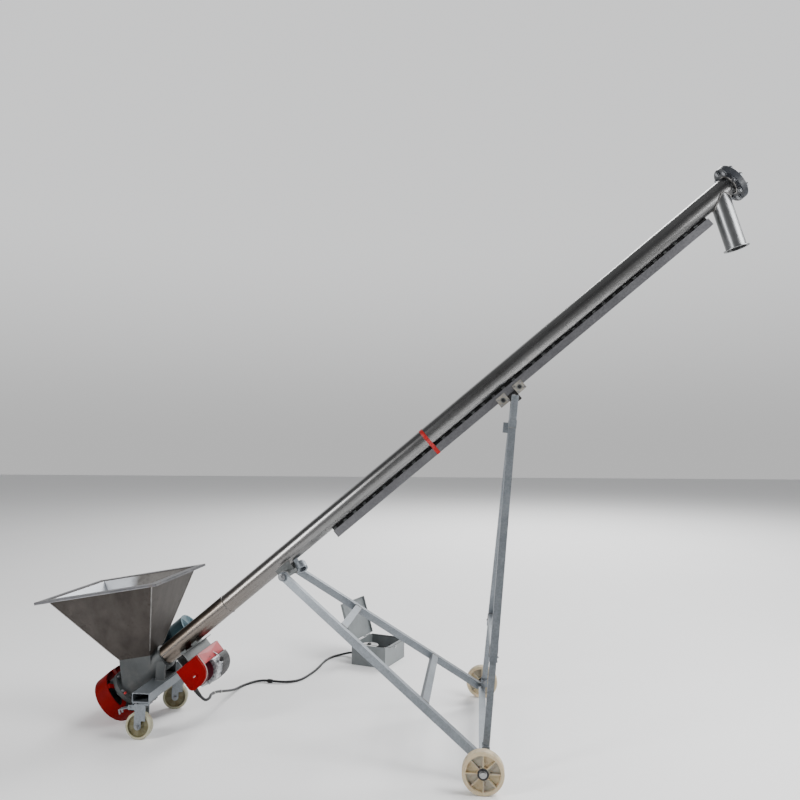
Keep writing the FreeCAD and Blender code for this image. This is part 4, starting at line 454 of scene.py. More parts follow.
class Paint(Nodes):
    """A material under construction: its node tree, its coordinates and its shader."""

    def __init__(self, name: str) -> None:
        """Start an empty material with one Principled shader."""
        self.material = bpy.data.materials.new(name)
        self.material.use_nodes = True
        super().__init__(self.material.node_tree)
        self.shader = self.tree.nodes["Principled BSDF"]

    def turned(self, tilt: float, scale: tuple[float, float, float]) -> Value:
        """Coordinates turned about Y by a tilt, so that X runs along the tube, and then scaled."""
        turned = self.node("ShaderNodeMapping", {}, {"Vector": self.place, "Rotation": (0.0, tilt, 0.0)})
        return self.node("ShaderNodeMapping", {}, {"Vector": turned, "Scale": scale})

    def noise(self, scale: float, detail: float = 4.0, rough: float = 0.55, place: Value | None = None,
              distort: float = 0.0) -> Value:
        """Fractal noise from nought to one."""
        return self.node("ShaderNodeTexNoise", {}, {"Vector": place or self.place, "Scale": scale, "Detail": detail,
                                                    "Roughness": rough, "Distortion": distort}, 0)

    def cells(self, scale: float, place: Value | None = None) -> Value:
        """Distance within cells, as the spangle of zinc."""
        return self.node("ShaderNodeTexVoronoi", {"feature": "SMOOTH_F1"},
                         {"Vector": place or self.place, "Scale": scale, "Smoothness": 0.3}, "Distance")

    def ramp(self, factor: Value, stops: list[tuple[float, Colour]]) -> Value:
        """Colour from a factor."""
        return self.node("ShaderNodeValToRGB", {"stops": stops}, {"Fac": factor})

    def offset(self, centre: np.ndarray) -> Value:
        """Coordinates from a point."""
        return self.node("ShaderNodeVectorMath", {"operation": "SUBTRACT"},
                         {0: self.place, 1: tuple(float(v) for v in centre)})

    def along(self, centre: np.ndarray, direction: np.ndarray) -> Value:
        """Distance from a point, measured along a direction."""
        return self.dot(self.offset(centre), direction)

    def spread(self, centre: np.ndarray, direction: np.ndarray) -> Value:
        """Distance from the line through a point along a direction."""
        away = self.offset(centre)
        whole = self.node("ShaderNodeVectorMath", {"operation": "LENGTH"}, {0: away}, "Value")
        part = self.dot(away, direction)
        return (whole * whole - part * part).size().power(0.5)

    def finish(self, base: "Value | Colour", rough: "Value | float", metal: "Value | float" = 0.0,
               height: Value | None = None, depth: float = 0.0005, strength: float = 0.5, **fixed: float) -> None:
        """Connect the shader.

        Args:
            base: colour.
            rough: roughness.
            metal: metallic.
            height: relief, from nought to one.
            depth: relief's distance.
            strength: relief's strength.
            fixed: other sockets by name, with underscores for spaces.
        """
        links = {"Base Color": base, "Roughness": rough, "Metallic": metal}
        if height is not None:
            links["Normal"] = self.node("ShaderNodeBump", {}, {"Height": height, "Distance": depth,
                                                               "Strength": strength})
        for key, value in links.items():
            if isinstance(value, Value):
                self.tree.links.new(value.socket, self.shader.inputs[key])
            elif key == "Base Color":
                self.shader.inputs[key].default_value = (*value, 1.0)
            else:
                self.shader.inputs[key].default_value = value
        for key, value in fixed.items():
            self.shader.inputs[key.replace("_", " ").title().replace("Ior", "IOR")].default_value = value


@dataclass(frozen=True)
class Steel:
    """Bare rolled or polished steel: fine streaks along the tube, cloudy stains and a few scratches. It can also carry
    painted shade towards the tube's low end and a painted reflection on the hopper's end away from the tube.
    """

    light: Colour
    dark: Colour
    rough: tuple[float, float]
    metal: float = 1.0
    streak: tuple[float, float, float] = (3.0, 160.0, 160.0)
    stain: Colour = (0.16, 0.11, 0.07)
    stained: float = 0.35
    tilt: float = TUBE_TILT
    low_shade: float = 0.0
    painted_reflection_end: float = 0.0
    relief: float = 0.35

    def make(self, name: str) -> bpy.types.Material:
        """Build the material."""
        paint = Paint(name)
        streaks = paint.noise(1.0, 5.0, 0.6, paint.turned(self.tilt, self.streak))
        clouds = paint.noise(5.0, 6.0, 0.6, distort=0.4)
        spots = paint.noise(38.0, 5.0, 0.7)
        tone = streaks * 0.55 + clouds * 0.45
        base = paint.ramp(tone, [(0.34, self.dark), (0.66, self.light)])
        patch = (clouds * 0.6 + spots * 0.4).step(0.54, 0.7) * self.stained
        base = paint.mix(patch, base, self.stain)
        # Painted shade: near the tube's low end the colour is pulled towards the stain colour, standing in for the
        # dark ground the steel reflects there.
        if self.low_shade:
            lower = (paint.along(TUBE.origin, TUBE.along) * -1.0 + 1.6).step(0.0, 1.5) * self.low_shade
            base = paint.mix(lower, base, self.stain)
        # Painted reflection: the part of the liner farthest from the tube turns a paler blue-grey, standing in for the
        # bright light that wall reflects.
        if self.painted_reflection_end:
            away = (paint.along(np.array(RIM["pos_m"]), TUBE.along * [-1, 0, 0])).step(0.29, 0.35) * self.painted_reflection_end
            base = paint.mix(away, base, (0.40, 0.42, 0.45))
        low, high = self.rough
        rough = low + (high - low) * (streaks * 0.5 + spots * 0.5) + patch * 0.25
        paint.finish(base, rough, self.metal, streaks * 0.6 + spots * 0.4, 0.0002, self.relief)
        return paint.material


@dataclass(frozen=True)
class Zinc:
    """Galvanised steel: spangle cells, white bloom and thin rust at a few spots."""

    light: Colour = (0.74, 0.77, 0.80)
    dark: Colour = (0.42, 0.44, 0.47)
    rough: tuple[float, float] = (0.32, 0.6)
    metal: float = 0.75
    spangle: float = 95.0
    rust: float = 0.12

    def make(self, name: str) -> bpy.types.Material:
        """Build the material."""
        paint = Paint(name)
        cells = paint.cells(self.spangle)
        clouds = paint.noise(7.0, 6.0, 0.62)
        grain = paint.noise(240.0, 3.0, 0.5)
        base = paint.ramp(cells * 0.35 + clouds * 0.65, [(0.2, self.dark), (0.7, self.light)])
        bloom = clouds.step(0.6, 0.75) * 0.12
        base = paint.mix(bloom, base, coloured(self.light, 1.7))
        rust = paint.noise(21.0, 7.0, 0.72).step(0.63, 0.74) * self.rust
        base = paint.mix(rust, base, (0.12, 0.05, 0.02))
        low, high = self.rough
        paint.finish(base, low + (high - low) * (cells * 0.5 + grain * 0.5) + rust * 0.3, self.metal,
                     cells * 0.5 + grain * 0.3, 0.0002, 0.3)
        return paint.material


@dataclass(frozen=True)
class Enamel:
    """Sprayed paint on metal: orange peel, dust and chips to a dark primer."""

    colour: Colour
    shade: Colour
    rough: float = 0.3
    chips: float = 0.5
    dust: float = 0.2
    dust_colour: Colour = (0.42, 0.38, 0.33)
    chip_colour: Colour = (0.10, 0.09, 0.085)
    coat: float = 0.25
    shine: float = 0.5

    def make(self, name: str) -> bpy.types.Material:
        """Build the material."""
        paint = Paint(name)
        clouds = paint.noise(6.0, 5.0, 0.6)
        peel = paint.noise(420.0, 2.0, 0.4)
        marks = paint.noise(55.0, 8.0, 0.78)
        base = paint.mix(clouds.step(0.35, 0.7), self.colour, self.shade)
        chip = marks.step(0.655, 0.675) * self.chips
        base = paint.mix(chip, base, self.chip_colour)
        settled = paint.noise(14.0, 6.0, 0.65).step(0.45, 0.75) * self.dust
        base = paint.mix(settled, base, self.dust_colour)
        rough = self.rough + settled * 0.35 + chip * 0.2 + clouds * 0.08
        paint.finish(base, rough, 0.0, peel * 0.4 - chip * 0.8, 0.0002, 0.3, coat_weight=self.coat,
                     coat_roughness=0.12, specular_ior_level=self.shine)
        return paint.material


@dataclass(frozen=True)
class Cast:
    """Cast metal: pebbled skin, dark hollows and bright rubbed spots."""

    light: Colour
    dark: Colour
    metal: float = 0.8
    rough: float = 0.5

    def make(self, name: str) -> bpy.types.Material:
        """Build the material."""
        paint = Paint(name)
        pebble = paint.noise(330.0, 4.0, 0.6)
        clouds = paint.noise(17.0, 6.0, 0.65)
        base = paint.ramp(clouds * 0.7 + pebble * 0.3, [(0.32, self.dark), (0.62, self.light)])
        paint.finish(base, self.rough + pebble * 0.25 - 0.1, self.metal, pebble, 0.0004, 0.5)
        return paint.material


@dataclass(frozen=True)
class Moulded:
    """Moulded plastic or rubber: fine grain, faint flow marks and rubbed dirt."""

    colour: Colour
    dirt: Colour = (0.10, 0.09, 0.08)
    dirty: float = 0.15
    rough: float = 0.5
    soft: float = 0.0

    def make(self, name: str) -> bpy.types.Material:
        """Build the material."""
        paint = Paint(name)
        grain = paint.noise(520.0, 3.0, 0.5)
        clouds = paint.noise(24.0, 6.0, 0.66)
        shade = tuple(v * 0.8 for v in self.colour)
        base = paint.mix(clouds.step(0.35, 0.65), self.colour, shade)
        base = paint.mix(paint.noise(60.0, 6.0, 0.7).step(0.5, 0.72) * self.dirty, base, self.dirt)
        paint.finish(base, self.rough + clouds * 0.15, 0.0, grain, 0.0002, 0.35, subsurface_weight=self.soft)
        return paint.material


@dataclass(frozen=True)
class WheelNylon:
    """A nylon wheel: milky tread, alternate darker sectors between the ribs, and rusty runs."""

    centre: tuple[float, float, float]
    axle: tuple[float, float, float]
    radius: float
    rim: Colour
    web: Colour
    stain: Colour = (0.42, 0.20, 0.05)
    sectors: int = 4
    stained: float = 0.5
    sector: Colour = (0.30, 0.285, 0.24)

    def make(self, name: str) -> bpy.types.Material:
        """Build the material."""
        paint = Paint(name)
        centre, axle = np.array(self.centre), np.array(self.axle)
        side = unit(np.cross(axle, UPWARDS))
        radius = paint.spread(centre, axle)
        across = paint.along(centre, side)
        upward = paint.along(centre, UPWARDS)
        angle = upward.maths("ARCTAN2", upward, across)
        wedge = (angle * float(self.sectors)).sine().step(-0.15, 0.15)
        clouds = paint.noise(26.0, 6.0, 0.66)
        grain = paint.noise(300.0, 3.0, 0.5)
        inside = radius.step(self.radius * 0.84, self.radius * 0.78)
        base = paint.mix(inside, self.rim, self.web)
        base = paint.mix(inside * wedge * 0.75, base, self.sector)
        runs = (clouds * 0.7 + paint.noise(90.0, 5.0, 0.7) * 0.3).step(0.5, 0.66) * self.stained
        base = paint.mix(runs * (0.4 + inside * 0.6), base, self.stain)
        worn = radius.step(self.radius * 0.975, self.radius) * clouds.step(0.35, 0.7) * 0.6
        base = paint.mix(worn, base, (0.16, 0.14, 0.11))
        paint.finish(base, 0.38 + clouds * 0.25, 0.0, grain * 0.5 + clouds * 0.5, 0.0004, 0.4,
                     subsurface_weight=0.08)
        return paint.material


def coloured(colour: Colour, factor: float) -> Colour:
    """A colour made lighter or darker."""
    return tuple(min(1.0, value * factor) for value in colour)


class Look(Enum):
    """Every finish on the machine that isn't tied to one wheel."""

    # TUBE and SHELL carry painted shade towards the tube's low end through low_shade.
    TUBE = Steel((0.25, 0.25, 0.25), (0.18, 0.178, 0.175), (0.22, 0.34), stained=0.12, low_shade=0.62, relief=0.14)
    SHELL = Steel((0.25, 0.24, 0.225), (0.17, 0.16, 0.148), (0.22, 0.36), stained=0.15, low_shade=0.62, relief=0.14)
    SPOUT = Steel((0.27, 0.275, 0.28), (0.17, 0.175, 0.178), (0.24, 0.42), streak=(60.0, 60.0, 4.0), tilt=0.0,
                  stained=0.12)
    HOPPER = Steel((0.085, 0.074, 0.067), (0.038, 0.032, 0.028), (0.40, 0.62), 0.65, (14.0, 14.0, 3.0),
                   (0.018, 0.014, 0.012), 0.65, 0.0)
    # LINER carries a painted reflection on its end away from the tube.
    LINER = Steel((0.105, 0.10, 0.095), (0.05, 0.047, 0.045), (0.34, 0.52), 0.75, (20.0, 20.0, 4.0),
                  (0.04, 0.035, 0.03), 0.5, 0.0, painted_reflection_end=0.85)
    RIM_STEEL = Steel((0.17, 0.17, 0.18), (0.075, 0.075, 0.08), (0.32, 0.55), 0.8, (8.0, 8.0, 8.0), tilt=0.0,
                      stained=0.4)
    ZINC = Zinc((0.27, 0.295, 0.32), (0.155, 0.172, 0.19))
    ZINC_DARK = Zinc((0.17, 0.18, 0.18), (0.095, 0.10, 0.10))
    RAIL = Zinc((0.19, 0.19, 0.20), (0.12, 0.12, 0.13), (0.35, 0.55), rust=0.05)
    WELD = Cast((0.34, 0.33, 0.32), (0.16, 0.155, 0.15), 0.9, 0.38)
    BOLT = Cast((0.34, 0.35, 0.37), (0.16, 0.165, 0.17), 0.9, 0.35)
    SLATE = Enamel((0.050, 0.056, 0.058), (0.030, 0.034, 0.036), 0.42, 0.35, 0.2, coat=0.05,
                   dust_colour=(0.15, 0.14, 0.125))
    FLANGE = Enamel((0.016, 0.020, 0.027), (0.009, 0.011, 0.016), 0.4, 0.4, 0.15, coat=0.1,
                    dust_colour=(0.12, 0.12, 0.12))
    GUARD = Enamel((0.16, 0.0, 0.0), (0.11, 0.0, 0.0), 0.5, 0.12, 0.0, coat=0.0, shine=0.08)
    RED = Enamel((0.22, 0.0, 0.001), (0.16, 0.0, 0.0008), 0.48, 0.12, 0.0, coat=0.0, shine=0.08)
    PINK = Enamel((0.46, 0.052, 0.062), (0.36, 0.035, 0.045), 0.4, 0.1, 0.08, coat=0.1)
    DRUM = Enamel((0.085, 0.003, 0.016), (0.05, 0.002, 0.008), 0.32, 0.2, 0.05, coat=0.3)
    TEAL = Enamel((0.010, 0.050, 0.075), (0.006, 0.030, 0.045), 0.3, 0.2, 0.08, coat=0.3)
    TEAL_PALE = Enamel((0.075, 0.165, 0.205), (0.05, 0.12, 0.15), 0.34, 0.15, 0.1, coat=0.2)
    BLACK = Enamel((0.006, 0.006, 0.007), (0.012, 0.012, 0.013), 0.36, 0.1, 0.1, coat=0.2)
    BOX = Enamel((0.20, 0.22, 0.225), (0.155, 0.17, 0.178), 0.42, 0.12, 0.15, coat=0.1,
                 dust_colour=(0.16, 0.14, 0.12))
    GREY_BLOCK = Enamel((0.30, 0.285, 0.25), (0.21, 0.195, 0.17), 0.5, 0.25, 0.2, coat=0.0,
                        dust_colour=(0.17, 0.15, 0.12))
    SILVER = Cast((0.55, 0.56, 0.58), (0.27, 0.275, 0.285), 0.8, 0.34)
    IRON = Cast((0.05, 0.05, 0.052), (0.02, 0.02, 0.022), 0.5, 0.5)
    SHAFT = Steel((0.38, 0.38, 0.38), (0.26, 0.26, 0.26), (0.25, 0.4), stained=0.1)
    RUBBER = Moulded((0.006, 0.006, 0.007), (0.04, 0.038, 0.035), 0.15, 0.55)
    SHEATH = Moulded((0.007, 0.008, 0.010), (0.04, 0.04, 0.04), 0.15, 0.38)
    BLACK_PLASTIC = Moulded((0.006, 0.006, 0.007), (0.05, 0.05, 0.05), 0.1, 0.42)
    WHITE_PLASTIC = Moulded((0.55, 0.55, 0.54), (0.25, 0.23, 0.20), 0.12, 0.4)
    TAPE = Moulded((0.42, 0.002, 0.002), (0.20, 0.003, 0.003), 0.06, 0.38)
    COPPER = Cast((0.45, 0.20, 0.08), (0.20, 0.08, 0.03), 0.9, 0.4)
    WIRE_BLUE = Moulded((0.012, 0.03, 0.16), (0.05, 0.05, 0.06), 0.1, 0.4)
    WIRE_GREEN = Moulded((0.02, 0.12, 0.03), (0.05, 0.05, 0.06), 0.1, 0.4)


class Wardrobe:
    """Keeps one material for each look."""

    made: dict[str, bpy.types.Material] = {}

    @classmethod
    def get(cls, look: Look) -> bpy.types.Material:
        """The look's material, made when first asked for."""
        if look.name not in cls.made:
            cls.made[look.name] = look.value.make(look.name.lower())
        return cls.made[look.name]


# ------------------------------------------------------------------ pieces
class Assembly:
    """A group of pieces that ride on one body; the sub-assemblies inherit its two makers."""

    body = "conveyor"

    def piece(self, name: str, shell: Shell | list[Shell], look: Look, slot: str,
              body: str | None = None) -> bpy.types.Object:
        """Make a mesh object from a surface.

        Args:
            name: the piece's name.
            shell: its surface, or several.
            look: its finish.
            slot: the record's material slot; not used.
            body: what it rides on, if not the assembly's own body.
        Returns:
            The object.
        """
        shell = together(shell) if isinstance(shell, list) else shell
        mesh = bpy.data.meshes.new(name)
        mesh.from_pydata(shell.points.tolist(), [], shell.faces.tolist())
        work = bmesh.new()
        work.from_mesh(mesh)
        bmesh.ops.remove_doubles(work, verts=work.verts, dist=1e-6)
        bmesh.ops.dissolve_degenerate(work, edges=work.edges, dist=1e-7)
        bmesh.ops.recalc_face_normals(work, faces=work.faces)
        work.to_mesh(mesh)
        work.free()
        mesh.polygons.foreach_set("use_smooth", np.ones(len(mesh.polygons), bool))
        mesh.set_sharp_from_angle(angle=CREASE)
        made = bpy.data.objects.new(name, mesh)
        bpy.context.collection.objects.link(made)
        made.data.materials.append(Wardrobe.get(look))
        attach(made, body or self.body)
        LOG.info("%s: %d faces on %s", name, len(mesh.polygons), body or self.body)
        return made

    def dress(self, look: "Look | bpy.types.Material", *nodes: str) -> None:
        """Give CAD nodes a finish."""
        material = look if isinstance(look, bpy.types.Material) else Wardrobe.get(look)
        for node in nodes:
            made = frame["nodes"][node]
            made.data.materials.clear()
            made.data.materials.append(material)


@dataclass
class Conveyor(Assembly):
    """The tube with its doubling shell, flanges, spout, seams and marking tape."""

    shell_start: float = 0.301
    shell_end: float = 0.783
    shell_radius: float = 0.06025
    shell_edge: float = 0.010
    flange_low: float = 4.560
    flange_high: float = 4.592
    flange_circle: float = 0.090
    bolts: int = 8
    spout_start: float = 4.482
    spout_lean: float = math.radians(23.7)
    spout_radius: float = 0.056
    spout_length: float = 0.332
    lip: float = 0.014
    tape_at: float = 2.312
    tape_wide: float = 0.022

    def spout_axes(self) -> Axes:
        """Axes down the spout from the tube's centre line."""
        down = np.array([-math.sin(self.spout_lean), 0.0, -math.cos(self.spout_lean)])
        return TUBE.at(self.spout_start).facing(down)

    def saddle(self, lift: float) -> np.ndarray:
        """Where the spout's wall meets the tube's.

        Formula: at each angle round the spout, the distance down its axis at which its wall reaches the
        tube's radius, from the quadratic for a line and a cylinder.
        """
        axes = self.spout_axes()
        ring = circle(axes, self.spout_radius + lift, 96) - TUBE.origin
        down = axes.along
        ring_y, ring_o = ring @ TUBE.left, ring @ TUBE.up
        down_o = float(down @ TUBE.up)
        room = np.maximum((TUBE_RADIUS + lift) ** 2 - ring_y ** 2, 0)
        travel = (-np.sqrt(room) - ring_o) / down_o
        return TUBE.origin + ring + travel[:, None] * down

    def build(self) -> None:
        """Build and dress everything on the tube."""
        self.dress(Look.TUBE, "main_tube")
        self.dress(Look.SHELL, "doubling_shell")
        self.dress(Look.SPOUT, "discharge_spout")
        self.dress(Look.FLANGE, "upper_flange", "end_cover")
        self.dress(Look.BOLT, "flange_bolts")
        self.dress(Look.SHAFT, "screw_shaft", "screw_flight")
        rims = [weld(circle(TUBE.at(s), radius), size, closed=True, hint=TUBE.along)
                for s, radius, size in ((self.flange_low, TUBE_RADIUS + 0.001, 0.004),
                                        (self.shell_end + 0.001, TUBE_RADIUS, 0.003))]
        side = math.sqrt(self.shell_radius ** 2 - self.shell_edge ** 2)
        edges = [weld(line(TUBE.out([self.shell_start, sign * side, self.shell_edge - 0.001]),
                           TUBE.out([self.shell_end, sign * side, self.shell_edge - 0.001]), 160), 0.0028, 0.009)
                 for sign in (1, -1)]
        saddle = weld(self.saddle(0.001), 0.0045, closed=True, hint=TUBE.along)
        self.piece("tube_welds", rims + edges + [saddle], Look.WELD, "stainless")

        spout = self.spout_axes()
        outer = self.spout_radius + self.lip
        lip = lathe(spout.at(self.spout_length - 0.0035), [
            (-0.003, self.spout_radius - 0.0028), (0.0, outer - 0.002), (0.001, outer), (0.003, outer),
            (0.0035, outer - 0.002), (0.0035, self.spout_radius - 0.0028)], 72)
        self.piece("spout_lip_roll", lip, Look.SPOUT, "stainless")

        studs = []
        for y, o in around(self.flange_circle, self.bolts):
            studs.append(band(TUBE.at(self.flange_high, y, o), 0.0095, 0.0155, 0.0022, 24))
            studs.append(band(TUBE.at(self.flange_low - 0.0022, y, o), 0.0095, 0.0155, 0.0022, 24))
        self.piece("flange_washers", studs, Look.BOLT, "dark_steel")
        cap = lathe(TUBE.at(self.flange_high), [(0, 0), (0, 0.034), (0.004, 0.034), (0.010, 0.026), (0.013, 0.018),
                                                (0.014, 0)], 48)
        screws = [hexagon(TUBE.at(self.flange_high + 0.004, y, o), 0.006, 0.003) for y, o in around(0.028, 4)]
        self.piece("bearing_cap", [cap] + screws, Look.FLANGE, "dark_steel")
        self.build_tape()

    def build_tape(self) -> None:
        """A turn of red tape round tube and rail: an arc over the tube and straight sides down to the rail."""
        radius, half, low = TUBE_RADIUS + 0.0008, 0.0235, -0.1160
        start = math.asin(-0.52)
        arc = np.linspace(start, math.pi - start, 40)
        over = np.stack([0 * arc, radius * np.cos(arc), radius * np.sin(arc)], 1)
        corner_high, corner_low = over[-1], np.array([0.0, -half, low])
        left_side = line(corner_high, [0.0, -half, -0.072], 6)[1:]
        down = line([0.0, -half, -0.072], corner_low, 5)[1:]
        under = line(corner_low, [0.0, half, low], 6)[1:]
        up = line([0.0, half, low], [0.0, half, -0.072], 5)[1:]
        right_side = line([0.0, half, -0.072], over[0], 6)[1:-1]
        path = TUBE.at(self.tape_at).out(np.vstack([over, left_side, down, under, up, right_side]))
        section = outline_box(0.0005, self.tape_wide / 2, 0.0004, 3)
        self.piece("marking_tape", sweep(path, section, TUBE.along, closed=True), Look.TAPE, "white_plastic")


@dataclass
class Hopper(Assembly):
    """The funnel with its liner, corner welds, rolled rim and mitre welds."""

    foot: tuple[float, float] = (0.190, 0.140)
    top: tuple[float, float] = (0.624, 0.610)
    rise: float = 0.433
    shift: float = -0.030
    lip: float = 0.047
    sheet: float = 0.003

    def axes(self) -> Axes:
        """Axes of the hopper: up square to its rim, from the middle of its foot."""
        up = unit(RIM["axis"])
        forward = np.cross([0.0, 1.0, 0.0], up)
        point = np.array(RIM["pos_m"]) - forward * (self.shift + self.top[0] / 2 + 0.020)
        return Axes(point - up * (self.rise + self.sheet), forward, np.array([0.0, 1.0, 0.0]), up)

    def corner(self, side_x: int, side_y: int, part: float, grow: float = 0.0) -> np.ndarray:
        """A point on a corner edge, from nought at the foot to one at the rim; grow moves it outwards."""
        half_x = (self.foot[0] + (self.top[0] - self.foot[0]) * part) / 2 + grow
        half_y = (self.foot[1] + (self.top[1] - self.foot[1]) * part) / 2 + grow
        return np.array([self.shift * part + side_x * half_x, side_y * half_y, self.rise * part])

    def build(self) -> None:
        """Build and dress the hopper."""
        self.dress(Look.HOPPER, "hopper")
        self.dress(Look.RIM_STEEL, "hopper_rim")
        axes = self.axes()
        seams = []
        for side_x in (1, -1):
            for side_y in (1, -1):
                path = axes.out(line(self.corner(side_x, side_y, 0.07), self.corner(side_x, side_y, 0.985), 150))
                seams.append(weld(path, 0.0030, 0.008))
        self.piece("hopper_corner_welds", seams, Look.WELD, "stainless")

        high = self.rise + self.sheet
        mitres = []
        for side_x in (1, -1):
            for side_y in (1, -1):
                inner = np.array([self.shift + side_x * (self.top[0] / 2 - 0.003), side_y * (self.top[1] / 2 - 0.003),
                                  high])
                outer = inner + np.array([side_x * (self.lip + 0.001), side_y * (self.lip + 0.001), 0.0])
                mitres.append(weld(axes.out(line(inner, outer, 30)), 0.0022, 0.006, hint=axes.up))
        self.piece("rim_mitre_welds", mitres, Look.WELD, "stainless")
        self.build_liner(axes)
        self.build_rim_edge(axes)

    def build_liner(self, axes: Axes) -> None:
        """The inner face, with a painted reflection on its end away from the tube: a thin funnel just inside the
        sheet.

        Formula: the inner rectangle at each height, on a grid of height by perimeter, doubled a hair inwards.
        """
        parts = np.linspace(0.16, 0.992, 24)
        rings = []
        for gap in (0.0052, 0.0062):
            half_x = (self.foot[0] + (self.top[0] - self.foot[0]) * parts) / 2 - gap
            half_y = (self.foot[1] + (self.top[1] - self.foot[1]) * parts) / 2 - gap
            walk = np.linspace(-1, 1, 13)[:-1]
            square = np.vstack([np.stack([walk, -np.ones(12)], 1), np.stack([np.ones(12), walk], 1),
                                np.stack([-walk, np.ones(12)], 1), np.stack([-np.ones(12), -walk], 1)])
            local = np.stack([self.shift * parts[:, None] + half_x[:, None] * square[:, 0],
                              half_y[:, None] * square[:, 1],
                              np.repeat((self.rise * parts)[:, None], len(square), 1)], -1)
            rings.append(axes.out(local))
        closed = np.concatenate([rings[0], rings[1][::-1]])
        self.piece("hopper_inner_face", grid(closed, close_rows=True), Look.LINER, "stainless")

    def build_rim_edge(self, axes: Axes) -> None:
        """A small round bead along the rim's folded lower edge."""
        half_x, half_y = self.top[0] / 2 + self.lip - 0.0016, self.top[1] / 2 + self.lip - 0.0016
        outline = outline_box(half_x, half_y, 0.006, 4)
        count = len(outline)
        dense = []
        for k in range(count):
            dense.append(line(outline[k], outline[(k + 1) % count], 5 if k % 4 == 3 else 2)[:-1])
        flat = np.vstack(dense)
        low = self.rise + self.sheet - 0.0125
        path = axes.out(np.column_stack([flat[:, 0] + self.shift, flat[:, 1], np.full(len(flat), low)]))
        self.piece("rim_hem_roll", sweep(path, ring_section(0.0023, 8), axes.up, closed=True), Look.RIM_STEEL,
                   "stainless")


@dataclass
class Casing(Assembly):
    """Inlet casing, its end plate, bearing and the belt guard's fixings."""

    radius: float = 0.070
    guard_big: float = 0.143
    guard_small: float = 0.092
    guard_low: float = -0.116
    guard_high: float = -0.026
    motor_y: float = 0.300
    motor_o: float = 0.058

    def hull(self, big: float, small: float, steps: int = 40) -> np.ndarray:
        """The outline round both pulleys: two arcs and their outer tangents, as (y, o) points."""
        span = math.hypot(self.motor_y, self.motor_o)
        ahead = math.atan2(self.motor_o, self.motor_y)
        tilt = math.asin((big - small) / span)
        reach = math.pi / 2 - tilt
        back = np.linspace(ahead + reach, ahead + 2 * math.pi - reach, steps * 2)
        front = np.linspace(ahead - reach, ahead + reach, steps)
        arc_back = np.stack([big * np.cos(back), big * np.sin(back)], 1)
        arc_front = np.stack([self.motor_y + small * np.cos(front), self.motor_o + small * np.sin(front)], 1)
        return np.vstack([arc_back, arc_front])

    def build(self) -> None:
        """Build and dress the inlet end."""
        self.dress(Look.SLATE, "inlet_casing", "lower_end_plate", "beam_uprights")
        self.dress(Look.IRON, "lower_bearing", "driven_pulley", "motor_pulley")
        self.dress(Look.RUBBER, "drive_belts")
        self.dress(Look.GUARD, "belt_guard")
        outline = self.hull(self.guard_big - 0.0012, self.guard_small - 0.0012)
        edges = []
        for s, size in ((self.guard_low + 0.0012, 0.0024), (self.guard_high - 0.001, 0.0028)):
            path = TUBE.at(s).out(np.column_stack([np.zeros(len(outline)), outline]))
            edges.append(sweep(path, ring_section(size * 0.5, 8), TUBE.along, closed=True))
        self.piece("guard_edge_rolls", edges, Look.GUARD, "red_paint")
        face = TUBE.at(self.guard_low).reversed()
        domes = []
        for y, o in self.hull(self.guard_big - 0.022, self.guard_small - 0.022, 7)[::2]:
            domes.append(bolt(TUBE.at(self.guard_low, y, o).reversed(), 0.006))
        self.piece("guard_face_bolts", domes, Look.BOLT, "dark_steel")
        hub = lathe(face, [(0, 0), (0, 0.030), (0.002, 0.030), (0.004, 0.026), (0.004, 0)], 40)
        self.piece("guard_face_cap", hub, Look.GUARD, "red_paint")

        fixings = [bolt(TUBE.at(-0.024, y, o).reversed(), 0.009, 0.004) for y, o in around(0.053, 4, math.pi / 4)]
        self.piece("bearing_bolts", fixings, Look.BOLT, "dark_steel")
        nipple = lathe(TUBE.at(-0.030, 0.0, 0.039).raised(),
                       [(0, 0), (0, 0.003), (0.004, 0.003), (0.006, 0.004), (0.008, 0.0022), (0.010, 0)], 16)
        self.piece("grease_nipple", nipple, Look.SHAFT, "shaft_steel")
        cap = lathe(TUBE.at(0.012, -0.092, -0.020), [(0, 0), (0, 0.006), (0.010, 0.006), (0.013, 0.004), (0.013, 0)],
                    20)
        self.piece("red_cap", cap, Look.TAPE, "white_plastic")
        self.build_welds()

    def build_welds(self) -> None:
        """Beads round the collar, along the neck's foot and where the uprights meet the beam."""
        beads = [weld(circle(TUBE.at(s), radius), 0.0035, closed=True, hint=TUBE.along)
                 for s, radius in ((0.0125, self.radius + 0.001), (0.3005, TUBE_RADIUS + 0.003))]
        low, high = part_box("beam_uprights")
        foot = low[2] + 0.001
        for y in (low[1], high[1]):
            beads.append(weld(line([low[0] + 0.002, y, foot], [high[0] - 0.002, y, foot], 24), 0.003))
        self.piece("casing_welds", beads, Look.SLATE, "blue_grey_paint")


